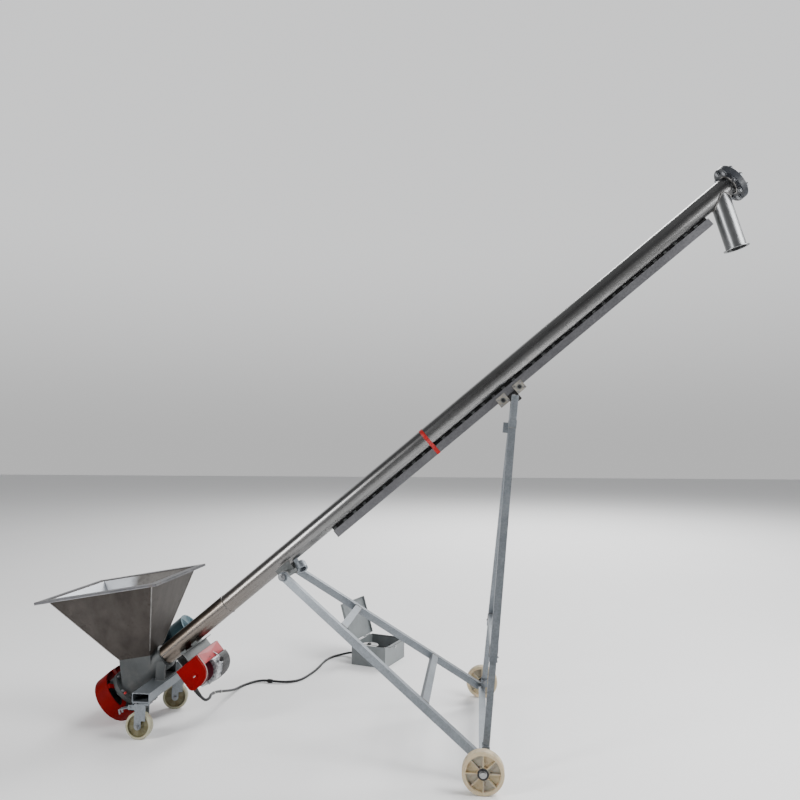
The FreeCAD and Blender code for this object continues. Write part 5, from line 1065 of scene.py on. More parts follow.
@dataclass
class Motor(Assembly):
    """Drive motor behind the tube: fins, lid, fan grille, feet bolts and lifting eye."""

    y: float = 0.300
    o: float = 0.058
    start: float = 0.040
    long: float = 0.245
    radius: float = 0.088
    fan: float = 0.095
    fins: int = 36

    def build(self) -> None:
        """Build and dress the motor."""
        self.dress(Look.TEAL, "motor_body")
        self.dress(Look.TEAL_PALE, "motor_fan_cover")
        self.dress(Look.SLATE, "motor_mount")
        self.dress(Look.SHAFT, "motor_shaft")
        axis = TUBE.at(self.start, self.y, self.o)
        fins = []
        section = outline_box(0.0042, 0.0013, 0.0008, 3)
        for k in range(self.fins):
            angle = 2 * math.pi * (k + 0.5) / self.fins
            if 1.05 < angle < 2.1 or 4.2 < angle < 5.25:
                continue
            out = np.array([0.0, math.cos(angle), math.sin(angle)])
            ends = axis.out(np.array([[0.021, 0, 0], [self.long - 0.017, 0, 0]]) + out * (self.radius - 0.0062))
            fins.append(sweep(line(*ends, 4), section[:, ::-1], TUBE.out(out) - TUBE.origin))
        self.piece("motor_fins", fins, Look.TEAL, "teal_paint")

        end = axis.at(self.long + self.fan + 0.0003)
        rings = [band(end, radius - 0.0022, radius, 0.003, 56) for radius in np.arange(0.016, 0.082, 0.0085)]
        spokes = []
        for angle in np.linspace(0, 2 * math.pi, 6, endpoint=False):
            reach = np.array([0.0, math.cos(angle), math.sin(angle)])
            spokes.append(sweep(end.at(0.0015).out(line(reach * 0.012, reach * 0.080, 4)),
                                outline_box(0.0022, 0.0012, 0.0006, 3), TUBE.along))
        self.piece("fan_grille", rings + spokes, Look.TEAL_PALE, "box_paint")
        rim = band(axis.at(self.long + self.fan - 0.006), self.radius - 0.0006, self.radius + 0.0016, 0.006, 72)
        self.piece("fan_cover_edge", rim, Look.TEAL_PALE, "box_paint")

        top = axis.at(0.1125, 0.0, self.radius + 0.040).raised()
        lid = slab(top, outline_box(0.050, 0.0525, 0.008), 0.006, 0.0015)
        screws = [bolt(Axes(top.origin + top.left * a + top.up * b + top.along * 0.006, top.along, top.left, top.up),
                       0.005) for a in (-0.042, 0.042) for b in (-0.044, 0.044)]
        self.piece("terminal_box_lid", [lid] + screws, Look.TEAL, "teal_paint")
        eye = axis.at(0.185, 0.0, self.radius + 0.011)
        ring = circle(Axes(eye.origin, eye.left, eye.along, eye.up), 0.014, 32)
        self.piece("lifting_eye", sweep(ring, ring_section(0.0035, 10), TUBE.left, closed=True)
                   + lathe(axis.at(0.185, 0.0, self.radius - 0.012).raised(),
                           [(0, 0), (0, 0.006), (0.010, 0.006), (0.010, 0)], 20), Look.BOLT, "dark_steel")
        feet = [bolt(axis.at(s, y, -self.radius + 0.0226).raised(), 0.009, 0.005)
                for s in (0.062, 0.178) for y in (-0.066, 0.066)]
        self.piece("motor_foot_bolts", feet, Look.BOLT, "dark_steel")


@dataclass
class Rail(Assembly):
    """Guide rail under the tube: end stops and tack welds on its pads."""

    start: float = 1.549
    end: float = 4.339
    drop: float = 0.070
    side: float = 0.045
    step: float = 0.075
    pad: float = 0.022
    strip_top: float = 0.0569
    lug: tuple[float, float] = (1.143, 1.237)
    lug_sides: tuple[float, ...] = (-0.048, -0.040, 0.040, 0.048)

    def build(self) -> None:
        """Build and dress the rail."""
        self.dress(Look.RAIL, "guide_rail")
        self.dress(Look.ZINC_DARK, "rail_pads", "pivot_lugs")
        self.dress(Look.ZINC, "rope_eye")
        tacks = []
        count = int((self.end - self.start - self.pad) // self.step) + 1
        for k in range(count):
            s = self.start + 0.004 + k * self.step
            for y in (-0.0062, 0.0062):
                foot = -self.drop + 0.001
                tacks.append(weld(TUBE.out(line([s, y, foot], [s + self.pad, y, foot], 7)), 0.0018, hint=TUBE.up))
        self.piece("rail_tack_welds", tacks, Look.WELD, "galvanised")
        stops = [block(TUBE.at(s, 0.0, -self.drop - 0.0215), (0.004, self.side - 0.0075, 0.034), 0.002)
                 for s in (self.start + 0.001, self.end - 0.005)]
        self.piece("rail_end_stops", stops, Look.ZINC_DARK, "galvanised")
        # Painted shade: a thin black sheet down the middle of the pads, so the gaps between the pads show dark as the
        # shade seen through them.
        low, high, half = -self.drop - 0.0004, -self.strip_top, 0.001
        strip = np.array([[low, -half], [low, half], [high, half], [high, -half]])
        path = TUBE.out(line([self.start, 0, 0], [self.end, 0, 0], 3))
        self.piece("rail_backing_strip", sweep(path, strip[:, ::-1], TUBE.up), Look.RUBBER, "belt_rubber")
        beads = []
        for y in self.lug_sides:
            low = -math.sqrt(TUBE_RADIUS ** 2 - min(abs(y), 0.0561) ** 2) - 0.001
            beads.append(weld(TUBE.out(line([self.lug[0], y, low], [self.lug[1], y, low], 30)), 0.0026, hint=TUBE.up))
        self.piece("lug_welds", beads, Look.WELD, "galvanised")


@dataclass
class CasterEnd(Assembly):
    """Casters under the cross beam: plate bolts, swivel races, axle nuts and the brake's rivets."""

    height: float = 0.217
    radius: float = 0.075

    def frame_of(self, name: str) -> tuple[Axes, Axes]:
        """Axes of a caster: at its swivel on the ground, and at its wheel's centre."""
        swivel = np.array(joint(f"caster_{name}_swivel")["pos_m"]) * [1, 1, 0]
        wheel = joint(f"caster_wheel_{name}_spin")
        across = np.array(wheel["axis"])
        ahead = np.cross(across, UPWARDS)
        return (Axes(swivel, ahead, across, UPWARDS), Axes(np.array(wheel["pos_m"]), ahead, across, UPWARDS))

    def build(self) -> None:
        """Build and dress both casters."""
        self.dress(Look.ZINC, "caster_beam")
        self.dress(Look.ZINC_DARK, "caster_mounts")
        for name in ("left", "right"):
            base, hub = self.frame_of(name)
            self.dress(Look.ZINC, f"caster_fork_{name}")
            nylon = WheelNylon(tuple(hub.origin), tuple(hub.left), self.radius, (0.38, 0.37, 0.26),
                               (0.115, 0.10, 0.040), (0.07, 0.055, 0.02), 6, 0.55, (0.15, 0.135, 0.07))
            self.dress(nylon.make(f"caster_nylon_{name}"), f"caster_wheel_{name}")
            heads = [bolt(base.at(x, y, self.height - 0.0052).facing([0.0, 0.0, -1.0]), 0.008, 0.004)
                     for x in (-0.040, 0.040) for y in (-0.031, 0.031)]
            self.piece(f"caster_plate_bolts_{name}", heads, Look.BOLT, "zinc")
            race = base.at(0.0, 0.0, self.height - 0.0230).raised()
            cup = lathe(race, [(0.001, 0.033), (0.001, 0.0355), (0.004, 0.0375), (0.009, 0.0375), (0.013, 0.0355),
                               (0.0145, 0.0335), (0.0145, 0.033)], 48)
            self.piece(f"swivel_cup_{name}", cup, Look.ZINC, "zinc", f"caster_{name}")
            nuts = [bolt(hub.at(0.0, y * 0.0305, 0.0).sideways(y), 0.0105, 0.004) for y in (-1, 1)]
            self.piece(f"caster_axle_nuts_{name}", nuts, Look.BOLT, "zinc", f"caster_{name}")
            guards = [band(Axes(hub.at(0.0, y * 0.0195).origin, hub.left * y, hub.up, hub.along * y), 0.0075, 0.0165,
                           0.0018, 32) for y in (-1, 1)]
            self.piece(f"thread_guards_{name}", guards, Look.BLACK_PLASTIC, "black_plastic",
                       f"caster_wheel_{name}")
        self.dress(Look.ZINC, "brake_pedal")
        pivot = self.frame_of("right")[0].at(-0.078, 0.0, 0.176)
        heads = [disc(pivot.at(0.0, y * 0.0301, 0.0).sideways(y), 0.0065, 0.003) for y in (-1, 1)]
        self.piece("brake_rivets", heads, Look.BOLT, "zinc", "caster_right")


@dataclass
class LowerFrame(Assembly):
    """Splayed frame with its welds, end caps, foot pins and road wheels."""

    body = "lower_frame"
    pivot_half: float = 0.136
    axle_half: float = 0.538
    crossbars: tuple[float, float] = (0.442, 1.003)
    bar: float = 0.040
    wheel_radius: float = 0.100
    foot_x: float = 0.015
    foot_y: float = 0.508
    bracket: tuple[float, float] = (0.038, 0.0608)

    def axes(self) -> Axes:
        """Axes from the pivot towards the axle."""
        pivot = np.array(joint("frame_tilt")["pos_m"])
        return Axes.aimed(pivot, AXLE - pivot, UPWARDS)

    def build(self) -> None:
        """Build and dress the frame and its wheels."""
        self.dress(Look.ZINC, "frame_tubes", "frame_crossbars", "axle_beam", "frame_head", "foot_brackets")
        self.dress(Look.SHAFT, "stub_axles")
        axes = self.axes()
        run = float(np.linalg.norm(AXLE - axes.origin))
        spread = self.axle_half - self.pivot_half
        splay = math.atan2(spread, run)
        half = self.bar / 2
        beads = []
        for place in self.crossbars:
            for sign in (1, -1):
                inner = -sign * (self.pivot_half + spread * place / run - (half + 0.0004) / math.cos(splay))
                slope = -sign * math.tan(splay)
                corners = [(place + x, inner + slope * x, z) for x, z in square(half)]
                beads.append(weld(axes.out(sides(corners)), 0.0030, closed=True, hint=axes.left))
        for sign in (1, -1):
            long, wide = self.bracket
            foot = AXLE + np.array([self.foot_x - long / 2, sign * self.foot_y - wide / 2, half + 0.001])
            rim = [foot, foot + [long, 0, 0], foot + [long, wide, 0], foot + [0, wide, 0], foot]
            beads.append(weld(sides(rim), 0.0022, closed=True))
        self.piece("frame_welds", beads, Look.WELD, "galvanised")
        self.build_caps(axes)
        for name, sign in (("left", 1), ("right", -1)):
            self.build_wheel(name, sign)

    def build_caps(self, axes: Axes) -> None:
        """Pin heads, pivot nuts and the welds round the pivot eyes."""
        heads = []
        for sign in (1, -1):
            for y in (-0.035, 0.035):
                out = float(np.sign(y))
                spot = AXLE + np.array([self.foot_x, sign * self.foot_y + y, 0.050])
                heads.append(bolt(Axes.aimed(spot, np.array([0.0, out, 0.0])), 0.010))
            nut = axes.at(0.0, sign * (self.pivot_half + 0.0301), 0.0).sideways(sign)
            heads.append(bolt(nut, 0.017, 0.004))
        self.piece("frame_pin_heads", heads, Look.BOLT, "galvanised")
        collars = []
        for sign in (1, -1):
            spot = Axes.aimed(axes.out([0.0, -sign * (self.pivot_half - 0.0220), 0.0]), np.array([0, -1.0 * sign, 0]))
            collars.append(weld(circle(spot, 0.0245, 60), 0.0022, closed=True, hint=spot.along))
        self.piece("frame_eye_welds", collars, Look.WELD, "galvanised")

    def build_wheel(self, name: str, sign: int) -> None:
        """Dress a road wheel and add its hub ring, bearing cover and axle nut."""
        spin = joint(f"road_wheel_{name}_spin")
        centre = np.array(spin["pos_m"])
        nylon = WheelNylon(tuple(centre), (0.0, 1.0, 0.0), self.wheel_radius, (0.52, 0.43, 0.28),
                           (0.44, 0.36, 0.22), (0.24, 0.11, 0.03), 4, 0.5)
        self.dress(nylon.make(f"wheel_nylon_{name}"), f"road_wheel_{name}")
        covers, seals = [], []
        for out in (1, -1):
            hub = Axes(centre + np.array([0.0, out * 0.0248, 0.0]), np.array([0.0, out * 1.0, 0.0]), UPWARDS,
                       np.array([out * 1.0, 0.0, 0.0]))
            seals.append(lathe(hub, [(0, 0.0185), (0, 0.0275), (0.0012, 0.0275), (0.0024, 0.0262), (0.0024, 0.0185)],
                               56))
            covers.append(lathe(hub, [(0, 0.0112), (0, 0.0184), (0.0012, 0.0184), (0.0016, 0.017), (0.0016, 0.0112)],
                                48))
        self.piece(f"hub_seals_{name}", seals, Look.BLACK_PLASTIC, "black_plastic", f"road_wheel_{name}")
        self.piece(f"hub_bearings_{name}", covers, Look.SILVER, "shaft_steel", f"road_wheel_{name}")
        low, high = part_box("stub_axles")
        end = high[1] if sign > 0 else low[1]
        face = Axes.aimed(np.array([centre[0], end - sign * 0.0016, centre[2]]), np.array([0.0, sign * 1.0, 0.0]))
        ring = lathe(face, [(0, 0.004), (0, 0.0085), (0.0008, 0.0092), (0.0014, 0.0085), (0.0014, 0.004)], 40)
        self.piece(f"axle_centre_{name}", ring, Look.BLACK_PLASTIC, "black_plastic")


@dataclass
class Legs(Assembly):
    """Telescopic legs: clamp bolts, welds, end rings and top caps."""

    body = "legs"
    foot_half: float = 0.508
    head_half: float = 0.054
    head_block: float = 1.590
    sleeve_low: float = 0.380
    cross: float = 0.433
    bar: float = 0.040
    head_pin: tuple[float, float, float] = (2.850, 0.0, -0.150)

    def axes(self) -> Axes:
        """Axes from the foot pins towards the head pin."""
        foot = np.array(joint("leg_swing")["pos_m"])
        return Axes.aimed(foot, TUBE.out(self.head_pin) - foot, np.array([-1.0, 0.0, 0.0]))

    def head_run(self) -> float:
        """Distance from the foot pins to the head pin."""
        return float(np.linalg.norm(TUBE.out(self.head_pin) - self.axes().origin))

    def side(self, along: float) -> float:
        """Half the distance between the legs' centre lines."""
        return self.foot_half - (self.foot_half - self.head_half) * along / self.head_block

    def build(self) -> None:
        """Build and dress the legs."""
        self.dress(Look.ZINC, "leg_sleeves", "leg_inner_tubes", "leg_crossbar", "leg_head")
        axes = self.axes()
        half = self.bar / 2
        splay = math.atan2(self.foot_half - self.head_half, self.head_block)
        beads, bolts, rims = [], [], []
        for sign in (1, -1):
            inner = sign * (self.side(self.cross) - (half + 0.0004) / math.cos(splay))
            corners = [(self.cross + x, inner - sign * math.tan(splay) * x, z) for x, z in square(half)]
            beads.append(weld(axes.out(sides(corners)), 0.0030, closed=True, hint=axes.left))
            leg = Axes.aimed(axes.out([0.0, sign * self.foot_half, 0.0]),
                             axes.out([self.head_block, sign * self.head_half, 0.0])
                             - axes.out([0.0, sign * self.foot_half, 0.0]), axes.up)
            low = self.sleeve_low / math.cos(splay)
            for side_up in (1.0, -1.0):
                bolts.append(bolt(leg.at(low + 0.028, 0.0, side_up * (half + 0.0001)).facing([0.0, 0.0, side_up]),
                                  0.006, 0.002))
            collar = outline_box(half + 0.0022, half + 0.0022, 0.004)
            hole = outline_box(half + 0.0001, half + 0.0001, 0.001)
            rows = [(low + 0.0005, hole), (low + 0.0005, collar), (low + 0.0115, collar), (low + 0.0115, hole)]
            local = np.stack([np.column_stack([np.full(len(shape), s), shape]) for s, shape in rows])
            rims.append(grid(leg.out(local), close_rows=True))
            top = [(self.head_block - 0.0005, sign * self.head_half + a, b) for a, b in square(half)]
            beads.append(weld(axes.out(sides(top)), 0.0028, closed=True, hint=axes.along))
        stubs = []
        for sign in (1, -1):
            ends = axes.out(np.array([[self.head_block - 0.020, sign * self.head_half, 0.0],
                                      [self.head_run() + 0.012, sign * (self.head_half - 0.0005), 0.0]]))
            stubs.append(sweep(line(*ends, 4), outline_box(half - 0.0012, half - 0.0004, 0.003), axes.up))
        self.piece("leg_top_caps", stubs, Look.ZINC, "galvanised")
        self.piece("leg_welds", beads, Look.WELD, "galvanised")
        self.piece("leg_clamp_bolts", bolts, Look.BOLT, "galvanised")
        self.piece("leg_sleeve_rings", rims, Look.ZINC, "galvanised")


@dataclass
class Trolley(Assembly):
    """Trolley on the rail: bushed cheek blocks and their bolts."""

    body = "trolley"
    at: float = 2.850
    roller_half: float = 0.0605
    cheek_o: float = -0.118
    cheek_y: float = 0.032

    def build(self) -> None:
        """Build and dress the trolley."""
        self.dress(Look.BLACK, "trolley_body")
        self.dress(Look.GREY_BLOCK, "trolley_cheeks")
        self.dress(Look.SHAFT, "trolley_rollers")
        bushes, cores, heads = [], [], []
        for s in (self.at - self.roller_half, self.at + self.roller_half):
            for y in (-1, 1):
                face = TUBE.at(s, y * (self.cheek_y + 0.0001), self.cheek_o).sideways(y)
                bushes.append(band(face, 0.0095, 0.0145, 0.0030, 36))
                cores.append(disc(face, 0.0094, 0.0016))
                for dx, dz in ((-0.022, -0.018), (0.022, -0.018), (-0.022, 0.018), (0.022, 0.018)):
                    spot = TUBE.at(s + dx, y * (self.cheek_y + 0.0001), self.cheek_o + dz)
                    heads.append(bolt(spot.sideways(y), 0.0048))
        self.piece("cheek_bushes", bushes, Look.ZINC_DARK, "zinc")
        self.piece("cheek_cores", cores, Look.BLACK_PLASTIC, "black_plastic")
        self.piece("cheek_bolts", heads, Look.BOLT, "zinc")


@dataclass
class Hoist(Assembly):
    """Electric hoist: a pale strip as a painted highlight on the cover's right edge, shaft mark, ribs of the gear case
    and fins of the motor.
    """

    s: float = 0.452
    o: float = -0.205
    top: float = -0.1182
    front: float = -0.172
    gear_radius: float = 0.086
    motor_radius: float = 0.090

    def outline(self, grow: float = 0.0) -> np.ndarray:
        """The cover's outline as (s, o): square above, a small and a large round corner below."""
        left, right, low = self.s - 0.072 - grow, self.s + 0.074 + grow, self.o - 0.060 - grow
        big, small = 0.082 + grow, 0.030 + grow
        turn = np.linspace(0, math.pi / 2, 14)
        right_arc = np.stack([right - big + big * np.cos(turn), low + big - big * np.sin(turn)], 1)
        left_arc = np.stack([left + small - small * np.sin(turn), low + small - small * np.cos(turn)], 1)
        return np.vstack([[[left, self.top], [right, self.top]], right_arc, left_arc])

    def build(self) -> None:
        """Build and dress the hoist."""
        self.dress(Look.ZINC_DARK, "hoist_channels")
        self.dress(Look.RED, "hoist_frame")
        self.dress(Look.DRUM, "hoist_drum")
        self.dress(Look.SILVER, "hoist_gear_case")
        self.dress(Look.BLACK, "hoist_motor")
        self.build_cover()
        self.build_gear_case()
        self.build_motor()

    def build_cover(self) -> None:
        """A pale strip along the cover's right edge as a painted highlight, the cover's shaft end and screws, and the
        pink side plate.
        """
        # Painted highlight: a white strip runs along the top right corner and the right-hand curve only, where the
        # rounded edge catches the light.
        shape = self.outline(0.0004)[1:16]
        dense = sides(shape, 4)
        path = TUBE.out(np.column_stack([dense[:, 0], np.full(len(dense), self.front + 0.0235), dense[:, 1]]))
        edge_highlight = sweep(path, outline_box(0.0014, 0.0026, 0.0008, 3), TUBE.left)
        self.piece("hoist_cover_trim", edge_highlight, Look.WHITE_PLASTIC, "white_plastic")
        face = TUBE.at(self.s, self.front, self.o).sideways(-1)
        boss = lathe(face, [(0, 0), (0, 0.016), (0.003, 0.016), (0.0045, 0.013), (0.0045, 0)], 40)
        self.piece("hoist_cover_boss", boss, Look.RED, "red_paint")
        mark = slab(face.at(0.0046), outline_box(0.0075, 0.0022, 0.0020), 0.0008, 0.0003)
        self.piece("hoist_shaft_mark", mark, Look.SILVER, "cast_silver")
        screws = []
        for ds, do in ((-0.058, 0.072), (0.060, 0.072), (-0.052, -0.034), (0.020, -0.047)):
            screws.append(bolt(TUBE.at(self.s + ds, self.front, self.o + do).sideways(-1), 0.0032))
        self.piece("hoist_cover_screws", screws, Look.RED, "red_paint")
        spot = TUBE.at(self.s + 0.0741, 0.002, self.top - 0.0345).facing([1.0, 0.0, 0.0])
        plate = slab(spot, outline_box(0.1475, 0.034, 0.006), 0.0022, 0.0006)
        slots = [slab(spot.at(0.0022, y, z), outline_box(0.009, 0.0022, 0.002), 0.0006, 0.0002)
                 for y, z in ((-0.05, -0.018), (0.05, -0.018))]
        self.piece("hoist_side_skin", plate, Look.PINK, "red_paint")
        self.piece("hoist_side_slots", slots, Look.BLACK, "black_paint")

    def build_gear_case(self) -> None:
        """Ribs, flange bolts and the clutch knob of the gear case."""
        ribs, heads = [], []
        for angle in np.radians([-158, -140, -122, -104, -86, -68, -50, -32, -14, 4]):
            out = np.array([math.cos(angle), 0.0, math.sin(angle)])
            ends = [TUBE.out(np.array([self.s, y, self.o]) + out * (self.gear_radius + 0.0015))
                    for y in (-0.052, 0.020)]
            ribs.append(sweep(line(*ends, 4), outline_box(0.0022, 0.0038, 0.0012, 3),
                              TUBE.out(out) - TUBE.origin))
            heads.append(bolt(TUBE.at(self.s + out[0] * 0.073, -0.058, self.o + out[2] * 0.073)
                              .sideways(-1), 0.0058))
        self.piece("gear_case_ribs", ribs, Look.SILVER, "cast_silver")
        self.piece("gear_case_bolts", heads, Look.BOLT, "dark_steel")
        joint_ring = lathe(TUBE.at(self.s, 0.0215, self.o).sideways(1),
                           [(0, self.gear_radius - 0.002), (0, self.gear_radius + 0.0035),
                            (0.005, self.gear_radius + 0.0035), (0.005, self.gear_radius - 0.002)], 40,
                           *self.under_roof())
        self.piece("gear_case_flange", joint_ring, Look.SILVER, "cast_silver")
        arm = TUBE.at(self.s + self.gear_radius + 0.012, -0.014, self.o - 0.017).facing([1.0, 0.0, -0.35])
        knob = lathe(arm, [(0, 0), (0, 0.010), (0.006, 0.0125), (0.018, 0.0125), (0.024, 0.009), (0.024, 0)], 24)
        self.piece("clutch_knob", knob, Look.BLACK_PLASTIC, "black_plastic")

    def under_roof(self) -> tuple[float, float]:
        """Start and sweep of the arc that stays below the hoist's roof plate."""
        room = math.asin((self.top - 0.012 - self.o) / (self.gear_radius + 0.004))
        return room - math.pi - 2 * room + math.radians(2), math.pi + 2 * room - math.radians(4)

    def build_motor(self) -> None:
        """Cooling fins of the hoist's motor."""
        axis = TUBE.at(self.s, 0.030, self.o - 0.004)
        fins = []
        for angle in np.radians(np.arange(-200, 15, 9)):
            out = np.array([math.cos(angle), 0.0, math.sin(angle)])
            if (self.motor_radius + 0.002) * out[2] > 0.070:
                continue
            ends = [axis.out(np.array([0.0, y, 0.0]) + out * (self.motor_radius + 0.0004)) for y in (0.012, 0.100)]
            fins.append(sweep(line(*ends, 4), outline_box(0.0014, 0.0022, 0.0008, 3),
                              TUBE.out(out) - TUBE.origin))
        self.piece("hoist_motor_fins", fins, Look.BLACK, "black_paint")


@dataclass
class ControlBox(Assembly):
    """Control box on the ground: gasket, latch, dial disc, terminals, relay and wiring."""

    long: float = 0.280
    wide: float = 0.340
    tall: float = 0.150

    def axes(self) -> Axes:
        """Axes at the box's near left bottom corner: along its length, its width and up."""
        across = np.array(HINGE["axis"])
        along = np.cross(across, UPWARDS)
        corner = np.array(HINGE["pos_m"]) + along * 0.005 - across * 0.170 - UPWARDS * (self.tall + 0.003)
        return Axes(corner, along, across, UPWARDS)

    def build(self) -> None:
        """Build and dress the box."""
        self.dress(Look.BOX, "control_box", "box_lid")
        self.dress(Look.BLACK_PLASTIC, "box_fittings", "selector_switch", "cable_glands")
        axes = self.axes()
        dial = axes.at(0.100, 0.096, 0.1262).raised()
        self.piece("dial_disc", lathe(dial, [(0, 0), (0, 0.067), (0.003, 0.0675), (0.006, 0.066), (0.007, 0.060),
                                             (0.005, 0.056), (0.005, 0.022), (0.008, 0.020), (0.008, 0)], 72),
                   Look.WHITE_PLASTIC, "white_plastic")
        self.piece("dial_knob", lathe(dial.at(0.0081), [(0, 0), (0, 0.016), (0.008, 0.015), (0.010, 0.013),
                                                        (0.010, 0)], 40), Look.BLACK_PLASTIC, "black_plastic")
        rows, screws = [], []
        for k in range(8):
            spot = axes.at(0.240, 0.040 + 0.014 * k, 0.0052).raised()
            rows.append(block(spot, (0.034, 0.0125, 0.030), 0.0015))
            screws.append(disc(spot.at(0.0341, 0.0, 0.008), 0.0032, 0.0012, 0.0003, 16))
            screws.append(disc(spot.at(0.0341, 0.0, -0.008), 0.0032, 0.0012, 0.0003, 16))
        self.piece("terminal_row", rows, Look.BLACK_PLASTIC, "black_plastic")
        self.piece("terminal_screws", screws, Look.COPPER, "shaft_steel")
        relay = axes.at(0.190, 0.230, 0.0834).raised()
        tops = [block(relay.at(0.0, 0.0, x), (0.003, 0.052, 0.012), 0.002) for x in (-0.028, -0.010)]
        self.piece("relay_caps", tops, Look.WHITE_PLASTIC, "white_plastic")
        self.build_wires(axes)
        self.build_shell_details(axes)

    def build_wires(self, axes: Axes) -> None:
        """Loose wires inside: each is a cubic curve between its ends, pulled up in its middle."""
        rise = np.linspace(0, 1, 30)[:, None]
        for name, look, start, pull, end in (
                ("wire_blue", Look.WIRE_BLUE, (0.020, 0.170, 0.035), (0.10, 0.30, 0.145), (0.228, 0.046, 0.038)),
                ("wire_green", Look.WIRE_GREEN, (0.022, 0.174, 0.031), (0.16, 0.20, 0.150), (0.228, 0.074, 0.038)),
                ("wire_black", Look.SHEATH, (0.020, 0.166, 0.039), (0.04, 0.28, 0.130), (0.088, 0.238, 0.076))):
            a, b, c = (np.array(v) for v in (start, pull, end))
            curve = (1 - rise) ** 2 * a + 2 * rise * (1 - rise) * b + rise ** 2 * c
            self.piece(name, sweep(axes.out(curve), ring_section(0.0022, 8), np.array([0.3, 0.2, 1.0])), look,
                       "black_plastic")

    def build_shell_details(self, axes: Axes) -> None:
        """Door gasket round the mouth and a latch on the near wall."""
        mouth = axes.at(self.long / 2, self.wide / 2, self.tall - 0.0005).raised()
        ring = outline_box(self.wide / 2 - 0.0032, self.long / 2 - 0.0032, 0.006)
        dense = sides([*ring, ring[0]], 3)
        path = mouth.out(np.column_stack([np.zeros(len(dense)), dense]))
        self.piece("box_gasket", sweep(path, ring_section(0.0014, 8), UPWARDS, closed=True), Look.RUBBER,
                   "belt_rubber")
        latch = axes.at(self.long, self.wide / 2, self.tall - 0.028).facing([1.0, 0.0, 0.0])
        self.piece("box_latch", block(latch, (0.004, 0.030, 0.022), 0.004)
                   + lathe(latch.at(0.004), [(0, 0), (0, 0.008), (0.004, 0.008), (0.005, 0.006), (0.005, 0)], 28),
                   Look.SILVER, "cast_silver")


@dataclass
class Cable(Assembly):
    """The free cable from the hoist to the control box, with its ties and taped joint."""

    diameter: float = 0.016
    route: tuple[tuple[float, float, float], ...] = (
        (-1.603, -0.159, 0.2404), (-1.561, -0.159, 0.190), (-1.551, -0.096, 0.184), (-1.572, -0.030, 0.176),
        (-1.604, 0.062, 0.152), (-1.616, 0.182, 0.128), (-1.615, 0.330, 0.083), (-1.619, 0.450, 0.048),
        (-1.624, 0.555, 0.020), (-1.620, 0.655, 0.0084), (-1.592, 0.714, 0.0082), (-1.552, 0.758, 0.0106),
        (-1.500, 0.778, 0.0136), (-1.410, 0.762, 0.0136), (-1.326, 0.770, 0.0102), (-1.250, 0.830, 0.0082),
        (-1.210, 0.990, 0.0082), (-1.192, 1.118, 0.0082), (-1.187, 1.243, 0.0082), (-1.172, 1.345, 0.0082),
        (-1.140, 1.424, 0.0084), (-1.086, 1.472, 0.010), (-1.028, 1.466, 0.026), (-0.984, 1.4434, 0.035),
        (-0.929, 1.425, 0.035))
    ties: tuple[tuple[int, float, float], ...] = ((4, 0.0024, 0.007), (5, 0.0024, 0.007), (12, 0.0044, 0.040))
    relief_long: float = 0.034
    relief_thick: float = 0.0042

    def build(self) -> None:
        """Make the cable as a smooth spline on the ground frame below the axle's middle."""
        shift = AXLE * [1, 1, 0]
        data = bpy.data.curves.new("power_cable_curve", "CURVE")
        data.dimensions = "3D"
        spline = data.splines.new("NURBS")
        spline.points.add(len(self.route) - 1)
        for point, spot in zip(spline.points, self.route):
            point.co = (*(np.array(spot) + shift), 1.0)
        spline.order_u = 3
        spline.use_endpoint_u = True
        spline.resolution_u = 12
        cable = bpy.data.objects.new("power_cable_sheath", data)
        bpy.context.collection.objects.link(cable)
        centre = self.centre_line(cable)
        data.bevel_depth = self.diameter / 2
        data.bevel_resolution = 6
        data.use_fill_caps = True
        data.materials.append(Wardrobe.get(Look.SHEATH))
        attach(cable, self.body)
        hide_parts("power_cable")
        ties = self.build_ties(centre) + self.build_reliefs(centre)

    def centre_line(self, cable: bpy.types.Object) -> np.ndarray:
        """Points along the cable's own spline."""
        mesh = bpy.data.meshes.new_from_object(cable)
        points = np.empty(len(mesh.vertices) * 3)
        mesh.vertices.foreach_get("co", points)
        bpy.data.meshes.remove(mesh)
        return points.reshape(-1, 3)

    def build_reliefs(self, centre: np.ndarray) -> list[bpy.types.Object]:
        """Tapered rubber sleeves where the cable leaves each housing.

        With t from nought at the housing to one at the sleeve's tip, its radius is
            r(t) = cable / 2 + thick * (1 - 0.82 t) + 0.0004 * max(0, sin(10 pi t)).
        """
        made = []
        for name, path in (("hoist", centre), ("box", centre[::-1])):
            length = np.concatenate([[0], np.cumsum(np.linalg.norm(np.diff(path, axis=0), axis=1))])
            part = np.linspace(0.0, 1.0, 41)
            spots = np.stack([np.interp(part * self.relief_long, length, path[:, axis]) for axis in range(3)], 1)
            radius = self.diameter / 2 + self.relief_thick * (1 - 0.82 * part)
            radius = radius + 0.0004 * np.maximum(0.0, np.sin(10 * math.pi * part))
            made.append(self.piece(f"{name}_strain_relief", sweep(spots, ring_section(1.0, 24), UPWARDS, scale=radius),
                                   Look.RUBBER, "belt_rubber"))
        return made

    def build_ties(self, centre: np.ndarray) -> list[bpy.types.Object]:
        """Two white ties and one taped joint, wound round the cable where it runs."""
        length = np.concatenate([[0], np.cumsum(np.linalg.norm(np.diff(centre, axis=0), axis=1))])
        made = []
        spots = np.array(self.route) + AXLE * [1, 1, 0]
        for k, (leg, thick, wide) in enumerate(self.ties):
            spot = length[np.argmin(np.linalg.norm(centre - (spots[leg] + spots[leg + 1]) / 2, axis=1))]
            where = np.linspace(spot - wide / 2, spot + wide / 2, 12)
            path = np.stack([np.interp(where, length, centre[:, axis]) for axis in range(3)], 1)
            swell = 1 - 0.25 * np.abs(np.linspace(-1, 1, 12)) ** 6
            radius = self.diameter / 2 + thick
            look = Look.WHITE_PLASTIC if k < 2 else Look.RUBBER
            made.append(self.piece(f"cable_wrap_{k + 1}", sweep(path, ring_section(radius, 24), UPWARDS, scale=swell),
                                   look, "white_plastic" if k < 2 else "belt_rubber"))
        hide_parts("cable_ties")
        return made


